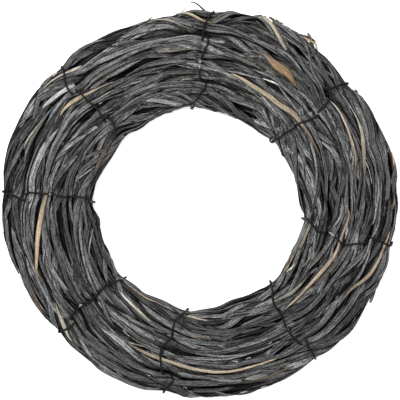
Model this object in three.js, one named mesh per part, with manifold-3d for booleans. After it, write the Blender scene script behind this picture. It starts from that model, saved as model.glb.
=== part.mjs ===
// A wicker wreath: a flat ring of dried leaf strips, held by eight ties of thin dark wire.
// Sizes are in millimetres with +Z up. The wreath lies on its back, and its front face looks up.
// The origin is on the floor under the middle of the outer rim.

import * as THREE from 'three';
import { mergeVertices } from 'three/addons/utils/BufferGeometryUtils.js';
import Module from 'manifold-3d';

const wasm = await Module();
wasm.setup();

const DEG = Math.PI / 180;
const TURN = 2 * Math.PI;

// The ring: a rim that is a little wider than tall, and a round hole slightly off its middle.
const RIM_RADIUS = 196;
const RIM_STRETCH = 2.4;
const HOLE_RADIUS = 102;
const HOLE_X = -1.7;
const HOLE_Y = -6.1;
const RIM_NIP = 2.4;
const HOLE_NIP = 2.2;

// The four courses lie side by side, one ring inside the next, from the rim (0) to the hole (3).
const COURSE_NAMES = ['outer', 'second', 'third', 'inner'];
const COURSE_GAP = 0.8;
const LEAN = 0.16;
const LEAN_PIVOT = 6;
const HALF_HEIGHT = 13;
const CENTRE_HEIGHT = 14.5;
const SWELL = 0.35;
const SWELLS_PER_LAP = 7;
const SQUARENESS = 3.4;
const STRANDS = 14;
const LINES = 2 * STRANDS;
const STRANDS_PASSED_PER_LAP = 23;
const TWIST = STRANDS_PASSED_PER_LAP / STRANDS;
const RING_STEP = 25;
const CREST_UNEVEN = 1.2;
const GROOVE_DEPTH = 1.7;
const GROOVE_UNEVEN = 1.1;
const HIDDEN_RELIEF = 0.35;
const LINE_WANDER = 3 * DEG;
const WANDERS_PER_LAP = 3;
const UNEVEN_MEAN = 0.5;
const UNEVEN_WAVES = [{ size: 0.3, perLap: 5 }, { size: 0.2, perLap: 13 }];
const PHASE_PER_COURSE = 2.1;
const PHASE_PER_LINE = 1.9;
const FEWEST_RING_STEPS = 4;
const WELD_DISTANCE = 1e-4;

// The ties: the angle where each meets the rim and the hole, how far its stitches slant, and its ends.
const TIES = [
  { rim: -53.4, hole: -48.0, slant: 2.4, rimStub: 2.6, holeStub: 3.0 },
  { rim: -11.9, hole: -8.5, slant: 2.8, rimStub: 4.6, holeStub: 2.4 },
  { rim: 38.7, hole: 40.8, slant: 3.0, rimStub: 4.0, holeStub: 2.6, eye: 2.4 },
  { rim: 85.8, hole: 95.1, slant: 2.2, rimStub: 3.2, holeStub: 2.6 },
  { rim: 135.4, hole: 137.4, slant: 3.4, rimStub: 3.8, holeStub: 3.2 },
  { rim: 176.6, hole: 179.4, slant: 2.6, rimStub: 2.6, holeStub: 3.6 },
  { rim: 222.3, hole: 221.9, slant: 2.8, rimStub: 3.0, holeStub: 3.4 },
  { rim: 259.3, hole: 263.0, slant: 2.4, rimStub: 2.8, holeStub: 4.0 },
];
const SLIT = 0.3;
const TIE_REACH = 13;
const TIE_SQUEEZE = 0.95;
const TIE_BITE = 1.7;
const WIRE_WIDTH = 1.25;
const WIRE_LIFT = 1.68;
const WIRE_SIDE_STEP = 0.42;
const WIRE_PASS = 1.0;
const STITCH_STEPS = [0, 32, 52, 90, 128, 148];

// Past its last stitch a wire turns round the edge of the ring, and its end stands out a little.
const END_TURN = { out: 1.3, along: 1.2, height: 3.0 };
const END_STUB = { along: 1.5, height: 3.7 };
const EYE_STEPS = [200, 260, 320, 380, 440, 500];
const EYE_RISE = 0.35;

// The lighter strips: the course each lies in, and its track going clockwise as angles, each with how far
// out the strip lies there across the course (1 is the course's outer side, -1 its inner side).
const PEACH = 0xc8a882;
const TAN = 0xb79468;
const PALE = 0xb9b5a8;
const BROWN = 0xa87443;
const OLIVE = 0x877a5c;
const LIGHT_STRIPS = [
  {
    name: 'peach_strip_1', course: 0, width: 4.2, colour: PEACH,
    track: [[147.5, 0.84], [139.5, 0.66], [136.3, 0.39], [129.5, -0.2]],
  },
  {
    name: 'peach_strip_2', course: 1, width: 5, colour: PEACH,
    track: [[148.2, 0.36], [142.7, 0.2], [135.4, -0.28], [124.8, -0.84]],
  },
  {
    name: 'peach_strip_3', course: 1, width: 4.6, colour: PEACH,
    track: [[201.5, 0.96], [197, 0.69], [190.4, 0.02], [178.6, -0.64], [166.3, -0.54]],
  },
  {
    name: 'peach_strip_4', course: 1, width: 3.8, colour: PEACH,
    track: [[297.5, 0.9], [278.8, 0.88], [270.2, 0.59], [255.5, -0.04], [245.3, -0.07]],
  },
  {
    name: 'peach_strip_5', course: 2, width: 4.2, colour: PEACH,
    track: [[0, 0.93], [-4.8, 0.93], [-16.1, 0.77], [-25.5, 0.36], [-36.8, -0.18], [-46.5, -0.16]],
  },
  {
    name: 'peach_strip_6', course: 2, width: 5, colour: PEACH,
    track: [[77.2, 0.16], [70, 0.01], [55.8, -0.35], [44.8, -0.23], [38.1, -0.26], [20.3, -0.51]],
  },
  {
    name: 'tan_strip_1', course: 0, width: 4, colour: TAN,
    track: [[227.3, 0.5], [223.2, 0.2], [214.6, -0.76]],
  },
  {
    name: 'tan_strip_2', course: 0, width: 4, colour: TAN,
    track: [[-8.3, 0.57], [-14, 0.36], [-22.8, -0.05], [-31.7, -0.86]],
  },
  {
    name: 'tan_strip_3', course: 1, width: 3.2, colour: TAN,
    track: [[38, 0.65], [32, 0.57], [23.2, 0.38], [16, 0.14], [9.7, -0.17]],
  },
  {
    name: 'tan_strip_4', course: 0, width: 3.2, colour: TAN,
    track: [[35.9, -0.41], [29.4, -0.39], [21.8, -0.77], [14.7, -0.95]],
  },
  {
    name: 'tan_strip_5', course: 0, width: 3.6, colour: TAN,
    track: [[95.2, 0.9], [93.3, 0.76], [91, 0.42], [84, 0.06]],
  },
  {
    name: 'tan_strip_6', course: 0, width: 2.8, colour: TAN,
    track: [[163, -0.05], [157.9, -0.21], [152.6, -0.62]],
  },
  {
    name: 'pale_strip_1', course: 0, width: 4.4, colour: PALE,
    track: [[150.5, -0.03], [144.8, -0.17], [137, -0.88]],
  },
  {
    name: 'pale_strip_2', course: 3, width: 3.6, colour: PALE,
    track: [[249, 0.95], [238.3, 0.43], [226.6, 0.09]],
  },
  {
    name: 'pale_strip_3', course: 0, width: 3.6, colour: PALE,
    track: [[107, 0.84], [100.4, 0.56], [98.5, 0.3]],
  },
  {
    name: 'brown_leaf', course: 1, width: 5.2, colour: BROWN,
    track: [[72.7, 0.33], [67.4, 0.32], [63.1, 0.21], [55.1, 0], [50.3, -0.53]],
  },
  {
    name: 'brown_strip', course: 0, width: 3, colour: BROWN,
    track: [[300.2, 0.58], [292.5, 0.53], [284.1, 0.3]],
  },
  {
    name: 'olive_strip_1', course: 3, width: 4, colour: OLIVE,
    track: [[-10.2, 0.14], [-17.9, -0.14], [-24.9, -0.45]],
  },
  {
    name: 'olive_strip_2', course: 2, width: 3.6, colour: OLIVE,
    track: [[-33.3, -0.53], [-39.7, -0.73], [-47, -0.92]],
  },
];
const BED_DEPTH = 1.95;
const BED_SHARE = 0.9;
const STRIP_CLEARANCE = 0.54;
const TIP_CLEARANCE = 0.56;
const STRIP_EDGE_DEPTH = 0.7;
const STRIP_PROUD = 0.3;
const STRIP_TIE_DROP = 0.45;
const STRIP_END_TAPER = 0.25;
const TIP_RANGE = [0.3, 0.75];
const GUIDE_REACH = 75 * DEG;
const GUIDE_FADE = 14 * DEG;

// One more light strip is a stray that crosses the lay steeply on top of the outer course.
const STRAY = { name: 'beige_stray', course: 0, from: [70.6, 26], to: [60.4, 108], width: 4.2, colour: TAN };
const STRAY_LIFT = -0.1;
const STRAY_THICKNESS = 0.9;
const STRAY_STEPS = 6;

// Loose dark strips lie over the lay of each bunch, with their ends sunk in it.
const LOOSE_LENGTHS = [42, 68];
const LOOSE_TURNS = [22 * DEG, -48 * DEG];
const LOOSE_SPREAD = 60 * DEG;
const LOOSE_WIDTH = 4.4;
const LOOSE_TAPER = 0.35;
const LOOSE_LIFT = 0.7;
const LOOSE_SINK = 2.4;
const LOOSE_EDGE = 0.6;
const LOOSE_KEEL = 2.3;
const LOOSE_STEPS = 4;
const LOOSE_TIE_ROOM = 13;
const LIGHT_STRIP_ROOM = { along: 5 * DEG, across: 42 * DEG };

// Ragged ends stand out of the rim: the angle of the root and the tip, and how far out the tip stands.
const RAGGED_ENDS = [
  { root: 52, tip: 57.5, reach: 4.5, height: 5, width: 4.4 },
  { root: 61, tip: 54.0, reach: 5.5, height: 1, width: 4.6 },
  { root: 64, tip: 69.5, reach: 3.6, height: 6, width: 4.0 },
  { root: 71, tip: 65.0, reach: 4.2, height: -3, width: 4.6 },
  { root: 76, tip: 71.5, reach: 3.2, height: 3, width: 3.8 },
  { root: 88, tip: 92.6, reach: 3.2, height: 4, width: 1.8 },
  { root: 101, tip: 96.5, reach: 2.6, height: 6, width: 3.6 },
  { root: 33, tip: 36.0, reach: 2.2, height: 4, width: 3.6 },
];
const RAGGED_STEPS = [0, 0.3, 0.65, 1];
const RAGGED_ROOT_DEPTH = 3.2;
const RAGGED_TAPER = 0.3;
const RAGGED_THICKNESS = 1.2;

// The wreath rests on three small flat spots under the second course.
const FOOT_SPANS = [1, 3, 6];
const FOOT_COURSE = 1;
const FOOT_HALF_WIDTH = 30 * DEG;

const BUNCH_COLOURS = [0x454545, 0x4b4b4a, 0x41423f, 0x474543];
const WIRE_COLOUR = 0x1d1d1d;

function mix(a, b, share) {
  return a + (b - a) * share;
}

function smooth(share) {
  const s = THREE.MathUtils.clamp(share, 0, 1);
  return s * s * (3 - 2 * s);
}

function wrapped(angle) {
  return angle - TURN * Math.round(angle / TURN);
}

// The same sequence of draws on every run.
function seededDraws(seed) {
  let state = seed;
  return () => {
    state = (Math.imul(state, 1664525) + 1013904223) >>> 0;
    return state / 4294967296;
  };
}

function tieAngle(tie, acrossShare) {
  return mix(tie.rim, tie.hole, acrossShare) * DEG;
}

// The ties in turn, with the first again a full turn later.
function tieAngles(acrossShare) {
  const angles = TIES.map((tie) => tieAngle(tie, acrossShare));
  return [...angles, angles[0] + TURN];
}

// How close a place is to a tie, from 0 to 1 right under the wires.
function tieness(angle, acrossShare, radius) {
  const distances = tieAngles(acrossShare).map((at) => Math.abs(angle - at) * radius);
  return Math.exp(-((Math.min(...distances) / TIE_REACH) ** 2));
}

function rimRadius(angle) {
  return RIM_RADIUS + RIM_STRETCH * Math.cos(2 * angle) - RIM_NIP * tieness(angle, 0, RIM_RADIUS);
}

function holeRadius(angle) {
  const round = HOLE_RADIUS + HOLE_X * Math.cos(angle) + HOLE_Y * Math.sin(angle);
  return round + HOLE_NIP * tieness(angle, 1, HOLE_RADIUS);
}

function courseShare(course) {
  return (course + 0.5) / COURSE_NAMES.length;
}

// The middle line and size of a course's cross-section at one angle round the ring.
function section(course, angle) {
  const pitch = (rimRadius(angle) - holeRadius(angle)) / COURSE_NAMES.length;
  const share = courseShare(course);
  const radius = rimRadius(angle) - (course + 0.5) * pitch;
  const nip = tieness(angle, share, radius);
  const swell = SWELL * Math.sin(SWELLS_PER_LAP * angle + PHASE_PER_COURSE * course);
  return {
    pitch,
    radius,
    halfWidth: pitch / 2 - COURSE_GAP / 2 - TIE_SQUEEZE * nip,
    halfHeight: HALF_HEIGHT - SWELL + swell - TIE_BITE * nip,
  };
}

// Distance from the middle of a section to its skin, towards the direction phi. Phi is 0 towards the
// rim, 90 degrees at the top and 180 degrees towards the hole.
function skinDistance(size, phi) {
  const across = Math.abs(Math.cos(phi)) / size.halfWidth;
  const up = Math.abs(Math.sin(phi)) / size.halfHeight;
  return (across ** SQUARENESS + up ** SQUARENESS) ** (-1 / SQUARENESS);
}

// A place by its distance from the axis, its angle round it and its height over the middle of the ring.
// The courses lean on each other a little, so that no gap between them runs straight down.
function ringPoint(radius, angle, height = 0) {
  const leaning = radius + LEAN * (height - LEAN_PIVOT);
  return new THREE.Vector3(leaning * Math.cos(angle), leaning * Math.sin(angle), CENTRE_HEIGHT + height);
}

// A place on a course, this deep below its skin. Shift moves it along the course.
function place(course, angle, phi, depth, shift = 0) {
  const size = section(course, angle);
  const distance = skinDistance(size, phi) - depth;
  const radius = size.radius + distance * Math.cos(phi);
  return ringPoint(radius, angle + shift / radius, distance * Math.sin(phi));
}

// The direction phi of a place on the top face, from how far out it lies across the course.
function phiAtShare(course, angle, share) {
  const size = section(course, angle);
  const rise = (1 - Math.abs(share) ** SQUARENESS) ** (1 / SQUARENESS);
  return Math.atan2(rise * size.halfHeight, share * size.halfWidth);
}

// The direction phi of a light strip, from its place across the course between two points of its track.
function stripPhi(strip, angle) {
  const next = strip.track.findIndex(([at]) => at * DEG <= angle);
  const index = next === -1 ? strip.track.length - 1 : Math.max(next, 1);
  const [[high, shareHigh], [low, shareLow]] = strip.track.slice(index - 1, index + 1);
  const share = mix(shareLow, shareHigh, (angle / DEG - low) / (high - low));
  return phiAtShare(strip.course, angle, share);
}

// Each light strip takes the place of the dark strand that lies nearest to its path.
function settleStrip(strip) {
  const start = strip.track[0][0] * DEG;
  const end = strip.track[strip.track.length - 1][0] * DEG;
  const middle = (start + end) / 2;
  const label = stripPhi(strip, middle) + TWIST * middle;
  const strand = Math.round((label / TURN) * STRANDS - 0.5);
  const line = ((2 * strand + 1) % LINES + LINES) % LINES;
  return { ...strip, start, end, line };
}

const SETTLED_STRIPS = LIGHT_STRIPS.map(settleStrip);

function lineLabel(line) {
  return (line / LINES) * TURN;
}

// The dark strands beside a light strip lean along with it.
function guideShift(course, label, angle) {
  let shift = 0;
  for (const strip of SETTLED_STRIPS) {
    if (strip.course !== course) continue;
    const beyond = Math.max(strip.end - angle, angle - strip.start, 0);
    const hold = 1 - smooth(beyond / GUIDE_FADE);
    if (hold === 0) continue;
    const stripLabel = lineLabel(strip.line);
    const nearness = Math.exp(-((wrapped(label - stripLabel) / GUIDE_REACH) ** 2));
    const held = THREE.MathUtils.clamp(angle, strip.end, strip.start);
    shift += hold * nearness * wrapped(stripPhi(strip, held) - (stripLabel - TWIST * held));
  }
  return shift;
}

// Even lines are the grooves between strands, and odd lines the crests of the strands.
function linePhi(course, line, angle) {
  const label = lineLabel(line);
  const phase = PHASE_PER_COURSE * course + PHASE_PER_LINE * line;
  const wander = LINE_WANDER * Math.sin(WANDERS_PER_LAP * angle + phase);
  return label - TWIST * angle + wander + guideShift(course, label, angle);
}

// From 0 to 1: how deep a groove or a crest lies there, so that no two strands are alike.
function unevenness(course, line, angle) {
  const phase = PHASE_PER_COURSE * course + PHASE_PER_LINE * line;
  const waves = UNEVEN_WAVES.map(({ size, perLap }) => size * Math.sin(perLap * (angle + phase)));
  return waves.reduce((sum, wave) => sum + wave, UNEVEN_MEAN);
}

function inBed(course, line, angle) {
  return SETTLED_STRIPS.some((strip) => (
    strip.course === course && strip.line === line && angle > strip.end && angle < strip.start
  ));
}

// The relief is shallower where a course lies against its neighbour.
function reliefShare(course, phi) {
  const out = Math.cos(phi);
  const exposed = (course === 0 && out > 0) || (course === COURSE_NAMES.length - 1 && out < 0);
  return exposed ? 1 : mix(1, HIDDEN_RELIEF, out * out);
}

function lineDepth(course, line, angle, phi) {
  const uneven = unevenness(course, line, angle);
  const share = reliefShare(course, phi);
  if (line % 2 === 0) return share * (GROOVE_DEPTH + GROOVE_UNEVEN * uneven);
  return inBed(course, line, angle) ? BED_DEPTH : share * CREST_UNEVEN * uneven;
}

// The angles at which a bunch has a ring of points, from one tie to the next.
function ringAngles(course, span) {
  const ties = tieAngles(courseShare(course));
  const radius = section(course, (ties[span] + ties[span + 1]) / 2).radius;
  const first = ties[span] + SLIT / 2 / radius;
  const last = ties[span + 1] - SLIT / 2 / radius;
  const steps = Math.max(FEWEST_RING_STEPS, Math.round(((last - first) * radius) / RING_STEP));
  return Array.from({ length: steps + 1 }, (_, index) => mix(first, last, index / steps));
}

// Below zero for a closed body whose faces look inwards.
function signedVolume(points, faces) {
  let volume = 0;
  for (let index = 0; index < faces.length; index += 3) {
    const [a, b, c] = faces.slice(index, index + 3).map((corner) => points[corner]);
    volume += a.dot(b.clone().cross(c)) / 6;
  }
  return volume;
}

// The two triangles of a four-cornered face. A full face is folded so that it bulges out of the body.
function folded(points, corners, full, middle) {
  const [a, b, c, d] = corners;
  const rise = (first, second) => points[first].clone().lerp(points[second], 0.5).distanceTo(middle);
  return full && rise(b, d) > rise(a, c) ? [a, b, d, b, c, d] : [a, b, c, a, c, d];
}

function middleOf(points) {
  const sum = points.reduce((total, point) => total.add(point), new THREE.Vector3());
  return sum.divideScalar(points.length);
}

// A closed body through rings of points, with a point at either end.
function closedTube(rings, startPoint, endPoint, full = false) {
  const count = rings[0].length;
  const points = [startPoint, ...rings.flat(), endPoint];
  const faces = [];
  const at = (ring, index) => 1 + ring * count + (index % count);
  for (let index = 0; index < count; index += 1) {
    faces.push(0, at(0, index + 1), at(0, index));
    faces.push(points.length - 1, at(rings.length - 1, index), at(rings.length - 1, index + 1));
    for (let ring = 0; ring < rings.length - 1; ring += 1) {
      const middle = middleOf([...rings[ring], ...rings[ring + 1]]);
      const near = [at(ring, index), at(ring, index + 1)];
      const far = [at(ring + 1, index + 1), at(ring + 1, index)];
      faces.push(...folded(points, [...near, ...far], full, middle));
    }
  }
  const inward = signedVolume(points, faces) < 0;
  const geometry = new THREE.BufferGeometry().setFromPoints(points);
  geometry.setIndex(inward ? faces.reverse() : faces);
  return geometry;
}

function solidOf(geometry) {
  const bare = geometry.clone();
  bare.deleteAttribute('normal');
  bare.deleteAttribute('uv');
  const merged = mergeVertices(bare, WELD_DISTANCE);
  const vertProperties = new Float32Array(merged.attributes.position.array);
  const triVerts = new Uint32Array(merged.index.array);
  return new wasm.Manifold(new wasm.Mesh({ numProp: 3, vertProperties, triVerts }));
}

function geometryOf(solid) {
  const mesh = solid.getMesh();
  const geometry = new THREE.BufferGeometry();
  geometry.setAttribute('position', new THREE.BufferAttribute(mesh.vertProperties, 3));
  geometry.setIndex(new THREE.BufferAttribute(mesh.triVerts, 1));
  return geometry;
}

function joined(geometries) {
  const solids = geometries.map(solidOf);
  return geometryOf(solids.reduce((whole, piece) => whole.add(piece)));
}

// A flat strip laid on a course: each step has an angle, phi, lift above the skin and half-width.
function laidStrip(course, steps, edgeDrop, keelDrop) {
  const rings = steps.slice(1, -1).map((step) => {
    const skin = skinDistance(section(course, step.angle), step.phi);
    const lean = step.halfWidth / skin;
    return [
      place(course, step.angle, step.phi - lean, edgeDrop - step.lift),
      place(course, step.angle, step.phi, keelDrop - step.lift),
      place(course, step.angle, step.phi + lean, edgeDrop - step.lift),
      place(course, step.angle, step.phi, -step.lift),
    ];
  });
  const ends = [steps[0], steps[steps.length - 1]];
  const tips = ends.map((step) => place(course, step.angle, step.phi, -step.lift));
  return closedTube(rings, tips[0], tips[1], true);
}

// Whether a loose strip would run over a light strip of the same course.
function crossesLightStrip(course, angle, phi) {
  const { along, across } = LIGHT_STRIP_ROOM;
  return SETTLED_STRIPS.some((strip) => (
    strip.course === course && angle > strip.end - along && angle < strip.start + along
    && Math.abs(wrapped(phi - stripPhi(strip, angle))) < across
  ));
}

function crossesStray(course, angle, phi) {
  const { along } = LIGHT_STRIP_ROOM;
  const beside = angle > STRAY.to[0] * DEG - along && angle < STRAY.from[0] * DEG + along;
  return course === STRAY.course && Math.sin(phi) > 0 && beside;
}

// The loose dark strips of one bunch: one on its top, and on every second bunch one underneath.
function looseStrips(course, span) {
  const draw = seededDraws(97 * course + 13 * span + 5);
  const angles = ringAngles(course, span);
  const radius = section(course, angles[2]).radius;
  const room = LOOSE_TIE_ROOM / radius;
  const first = angles[0] + room;
  const last = angles[angles.length - 1] - room;
  const strips = [];
  const wanted = (course + span) % 2 === 0 ? 2 : 1;
  for (let number = 0; number < wanted; number += 1) {
    const length = mix(...LOOSE_LENGTHS, draw()) / radius;
    const start = mix(first, Math.max(first, last - length), draw());
    const face = number === 0 ? TURN / 4 : -TURN / 4;
    const middlePhi = face + LOOSE_SPREAD * (draw() - 0.5);
    const turn = LOOSE_TURNS[draw() < 0.5 ? 0 : 1];
    const steps = Array.from({ length: LOOSE_STEPS + 1 }, (_, index) => {
      const share = index / LOOSE_STEPS;
      const endward = Math.abs(2 * share - 1);
      return {
        angle: Math.min(start + length * share, last),
        phi: middlePhi + turn * (share - 0.5),
        lift: LOOSE_LIFT - LOOSE_SINK * endward ** 4,
        halfWidth: (LOOSE_WIDTH / 2) * (1 - LOOSE_TAPER * endward),
      };
    });
    const onFoot = course === FOOT_COURSE && FOOT_SPANS.includes(span) && face < 0;
    const blocked = steps.some(({ angle, phi }) => (
      crossesLightStrip(course, angle, phi) || crossesStray(course, angle, phi)
    ));
    if (!blocked && !onFoot) strips.push(laidStrip(course, steps, LOOSE_EDGE, LOOSE_KEEL));
  }
  return strips;
}

// The ragged ends of one outer bunch: strips whose tips stand out of the rim.
function raggedEnds(span) {
  const ties = tieAngles(0);
  const here = RAGGED_ENDS.filter(({ root }) => root * DEG > ties[span] && root * DEG < ties[span + 1]);
  return here.map((end) => {
    const steps = RAGGED_STEPS.map((share) => ({
      angle: mix(end.root, end.tip, share) * DEG,
      phi: Math.atan2(end.height, HALF_HEIGHT),
      lift: mix(-RAGGED_ROOT_DEPTH, end.reach, share),
      halfWidth: (end.width / 2) * (1 - RAGGED_TAPER * share),
    }));
    return laidStrip(0, steps, RAGGED_THICKNESS / 2, RAGGED_THICKNESS);
  });
}

// Two neighbouring rings of a bunch with a foot are pressed flat on the floor.
function footRings(course, span, ringCount) {
  if (course !== FOOT_COURSE || !FOOT_SPANS.includes(span)) return [];
  const middle = Math.floor(ringCount / 2);
  return [middle - 1, middle];
}

function bunchGeometry(course, span) {
  const angles = ringAngles(course, span);
  const feet = footRings(course, span, angles.length);
  const rings = angles.map((angle, ring) => (
    Array.from({ length: LINES }, (_, line) => {
      const phi = linePhi(course, line, angle);
      const point = place(course, angle, phi, lineDepth(course, line, angle, phi));
      const low = Math.abs(wrapped(phi + TURN / 4)) < FOOT_HALF_WIDTH;
      if (low && feet.includes(ring)) point.z = 0;
      return point;
    })
  ));
  const middleAt = (angle) => ringPoint(section(course, angle).radius, angle);
  const body = closedTube(rings, middleAt(angles[0]), middleAt(angles[angles.length - 1]));
  const extras = looseStrips(course, span);
  if (course === 0) extras.push(...raggedEnds(span));
  return extras.length > 0 ? joined([body, ...extras]) : body;
}

// All ring angles of a course, with one angle for the two ring ends that meet at a tie.
function courseRings(course) {
  const all = TIES.flatMap((_, span) => ringAngles(course, span).slice(1, -1));
  return [...all, ...tieAngles(courseShare(course))].sort((a, b) => a - b);
}

// The end of a light strip lies between its last ring and the next one, over the end of its bed.
function stripTip(strip, lastRing, nextRing, wanted) {
  const share = THREE.MathUtils.clamp((wanted - lastRing) / (nextRing - lastRing), ...TIP_RANGE);
  const lastPhi = linePhi(strip.course, strip.line, lastRing);
  const nextPhi = linePhi(strip.course, strip.line, nextRing);
  const depthNext = lineDepth(strip.course, strip.line, nextRing, nextPhi);
  const from = place(strip.course, lastRing, lastPhi, BED_DEPTH - TIP_CLEARANCE);
  const to = place(strip.course, nextRing, nextPhi, depthNext - TIP_CLEARANCE);
  return from.lerp(to, share);
}

// A light strip: a thin lens in section, laid in the bed that its course leaves for it.
function lightStripGeometry(strip) {
  const { course, line } = strip;
  const rings = courseRings(course);
  const inside = rings.filter((angle) => angle > strip.end && angle < strip.start);
  const before = rings[rings.indexOf(inside[0]) - 1];
  const after = rings[rings.indexOf(inside[inside.length - 1]) + 1];
  const sections = inside.map((angle, index) => {
    const phi = linePhi(course, line, angle);
    const size = section(course, angle);
    const nearEnd = index === 0 || index === inside.length - 1;
    const halfWidth = (strip.width / 2) * (nearEnd && inside.length > 2 ? 1 - STRIP_END_TAPER : 1);
    const lean = halfWidth / skinDistance(size, phi);
    const [leanOut, leanIn] = [-1, 1].map((side) => (
      Math.min(lean, BED_SHARE * Math.abs(linePhi(course, line + side, angle) - phi))
    ));
    const nip = tieness(angle, courseShare(course), size.radius);
    const proud = STRIP_PROUD - STRIP_TIE_DROP * nip;
    return [
      place(course, angle, phi - leanOut, STRIP_EDGE_DEPTH),
      place(course, angle, phi, BED_DEPTH - STRIP_CLEARANCE),
      place(course, angle, phi + leanIn, STRIP_EDGE_DEPTH),
      place(course, angle, phi, -proud),
    ];
  });
  const startTip = stripTip(strip, inside[0], before, strip.end);
  const endTip = stripTip(strip, inside[inside.length - 1], after, strip.start);
  return closedTube(sections, startTip, endTip, true);
}

function strayGeometry() {
  const steps = Array.from({ length: STRAY_STEPS + 1 }, (_, index) => {
    const share = index / STRAY_STEPS;
    return {
      angle: mix(STRAY.to[0], STRAY.from[0], share) * DEG,
      phi: mix(STRAY.to[1], STRAY.from[1], share) * DEG,
      lift: STRAY_LIFT + STRAY_THICKNESS,
      halfWidth: STRAY.width / 2,
    };
  });
  return laidStrip(STRAY.course, steps, STRAY_THICKNESS / 2, STRAY_THICKNESS);
}

// A wire's path, whose bends are exactly its listed points.
class WirePath extends THREE.Curve {
  constructor(points) {
    super();
    this.points = points;
  }

  getPoint(share, target = new THREE.Vector3()) {
    const along = THREE.MathUtils.clamp(share, 0, 1) * (this.points.length - 1);
    const index = Math.min(Math.floor(along), this.points.length - 2);
    return target.lerpVectors(this.points[index], this.points[index + 1], along - index);
  }

  getPointAt(share, target) {
    return this.getPoint(share, target);
  }

  getTangentAt(share, target) {
    return this.getTangent(share, target);
  }
}

function wireGeometry(points) {
  const half = WIRE_WIDTH / 2;
  const outline = new THREE.Shape([
    new THREE.Vector2(half, 0),
    new THREE.Vector2(0, half),
    new THREE.Vector2(-half, 0),
    new THREE.Vector2(0, -half),
  ]);
  const path = new WirePath(points);
  return new THREE.ExtrudeGeometry(outline, { steps: points.length - 1, extrudePath: path });
}

// A wire's place beside a course at a tie. It swings along the ring as it goes round the course, so
// that its stitches slant. Between two courses one wire goes down while the other comes up behind it.
function wirePoint(tie, course, degrees, over) {
  const side = over ? 1 : -1;
  const phi = degrees * DEG * side;
  const angle = tieAngle(tie, courseShare(course) - (0.5 * Math.cos(phi)) / COURSE_NAMES.length);
  if (degrees > 0) {
    const swing = -tie.slant * Math.sin(2 * phi);
    return place(course, angle, phi, -WIRE_LIFT, swing);
  }
  const size = section(course, angle);
  const radius = size.radius + size.pitch / 2;
  return ringPoint(radius, angle - (side * WIRE_PASS) / radius);
}

function rimPoint(tie, outward, along, height) {
  const angle = tieAngle(tie, 0);
  const radius = rimRadius(angle) + outward;
  return ringPoint(radius, angle + along / radius, height);
}

function holePoint(tie, inward, along, height) {
  const angle = tieAngle(tie, 1);
  const radius = holeRadius(angle) - inward;
  return ringPoint(radius, angle + along / radius, height);
}

// One of the two wires of a tie, from its end at the rim to its end at the hole.
function wirePoints(tie, startsOver) {
  const side = startsOver ? 1 : -1;
  const sideStep = WIRE_SIDE_STEP * (1 + side);
  const points = [
    rimPoint(tie, tie.rimStub, END_STUB.along * side, -END_STUB.height * side),
    rimPoint(tie, END_TURN.out, END_TURN.along * side, -END_TURN.height * side),
    rimPoint(tie, sideStep, 0, 0),
  ];
  COURSE_NAMES.forEach((_, course) => {
    const over = (course % 2 === 0) === startsOver;
    const steps = course === 0 ? STITCH_STEPS.slice(1) : STITCH_STEPS;
    points.push(...steps.map((degrees) => wirePoint(tie, course, degrees, over)));
  });
  points.push(holePoint(tie, sideStep, 0, 0));
  if (tie.eye && startsOver) {
    points.push(...eyePoints(tie));
  } else {
    points.push(holePoint(tie, END_TURN.out, -END_TURN.along * side, END_TURN.height * side));
    points.push(holePoint(tie, tie.holeStub, -END_STUB.along * side, END_STUB.height * side));
  }
  return points;
}

// The end of a wire curled into a small eye that faces up.
function eyePoints(tie) {
  return EYE_STEPS.map((degrees, index) => {
    const inward = END_TURN.out + tie.eye * (1 + Math.cos(degrees * DEG));
    const along = tie.eye * Math.sin(degrees * DEG);
    return holePoint(tie, inward, along, END_TURN.height + EYE_RISE * index);
  });
}

function tieGeometry(tie) {
  return joined([wireGeometry(wirePoints(tie, true)), wireGeometry(wirePoints(tie, false))]);
}

function leafMaterial(colour) {
  return new THREE.MeshStandardMaterial({ color: colour, roughness: 0.85, metalness: 0, flatShading: true });
}

function addPiece(group, name, geometry, material) {
  const mesh = new THREE.Mesh(geometry, material);
  mesh.name = name;
  group.add(mesh);
}

const wreath = new THREE.Group();
COURSE_NAMES.forEach((name, course) => {
  const material = leafMaterial(BUNCH_COLOURS[course]);
  TIES.forEach((_, span) => {
    addPiece(wreath, `${name}_bunch_${span + 1}`, bunchGeometry(course, span), material);
  });
});
for (const strip of SETTLED_STRIPS) {
  addPiece(wreath, strip.name, lightStripGeometry(strip), leafMaterial(strip.colour));
}
addPiece(wreath, STRAY.name, strayGeometry(), leafMaterial(STRAY.colour));
const wireMaterial = new THREE.MeshStandardMaterial({ color: WIRE_COLOUR, roughness: 0.5, metalness: 0.6 });
TIES.forEach((tie, index) => {
  addPiece(wreath, `wire_tie_${index + 1}`, tieGeometry(tie), wireMaterial);
});

export default wreath;
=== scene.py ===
# A wicker wreath, laid on its back: dried leaf strips in four courses, one ring inside the next, with
# lighter strips among them, held by eight ties of thin dark wire.
# Sizes are in metres with +Z up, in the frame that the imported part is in.
import math

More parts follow.
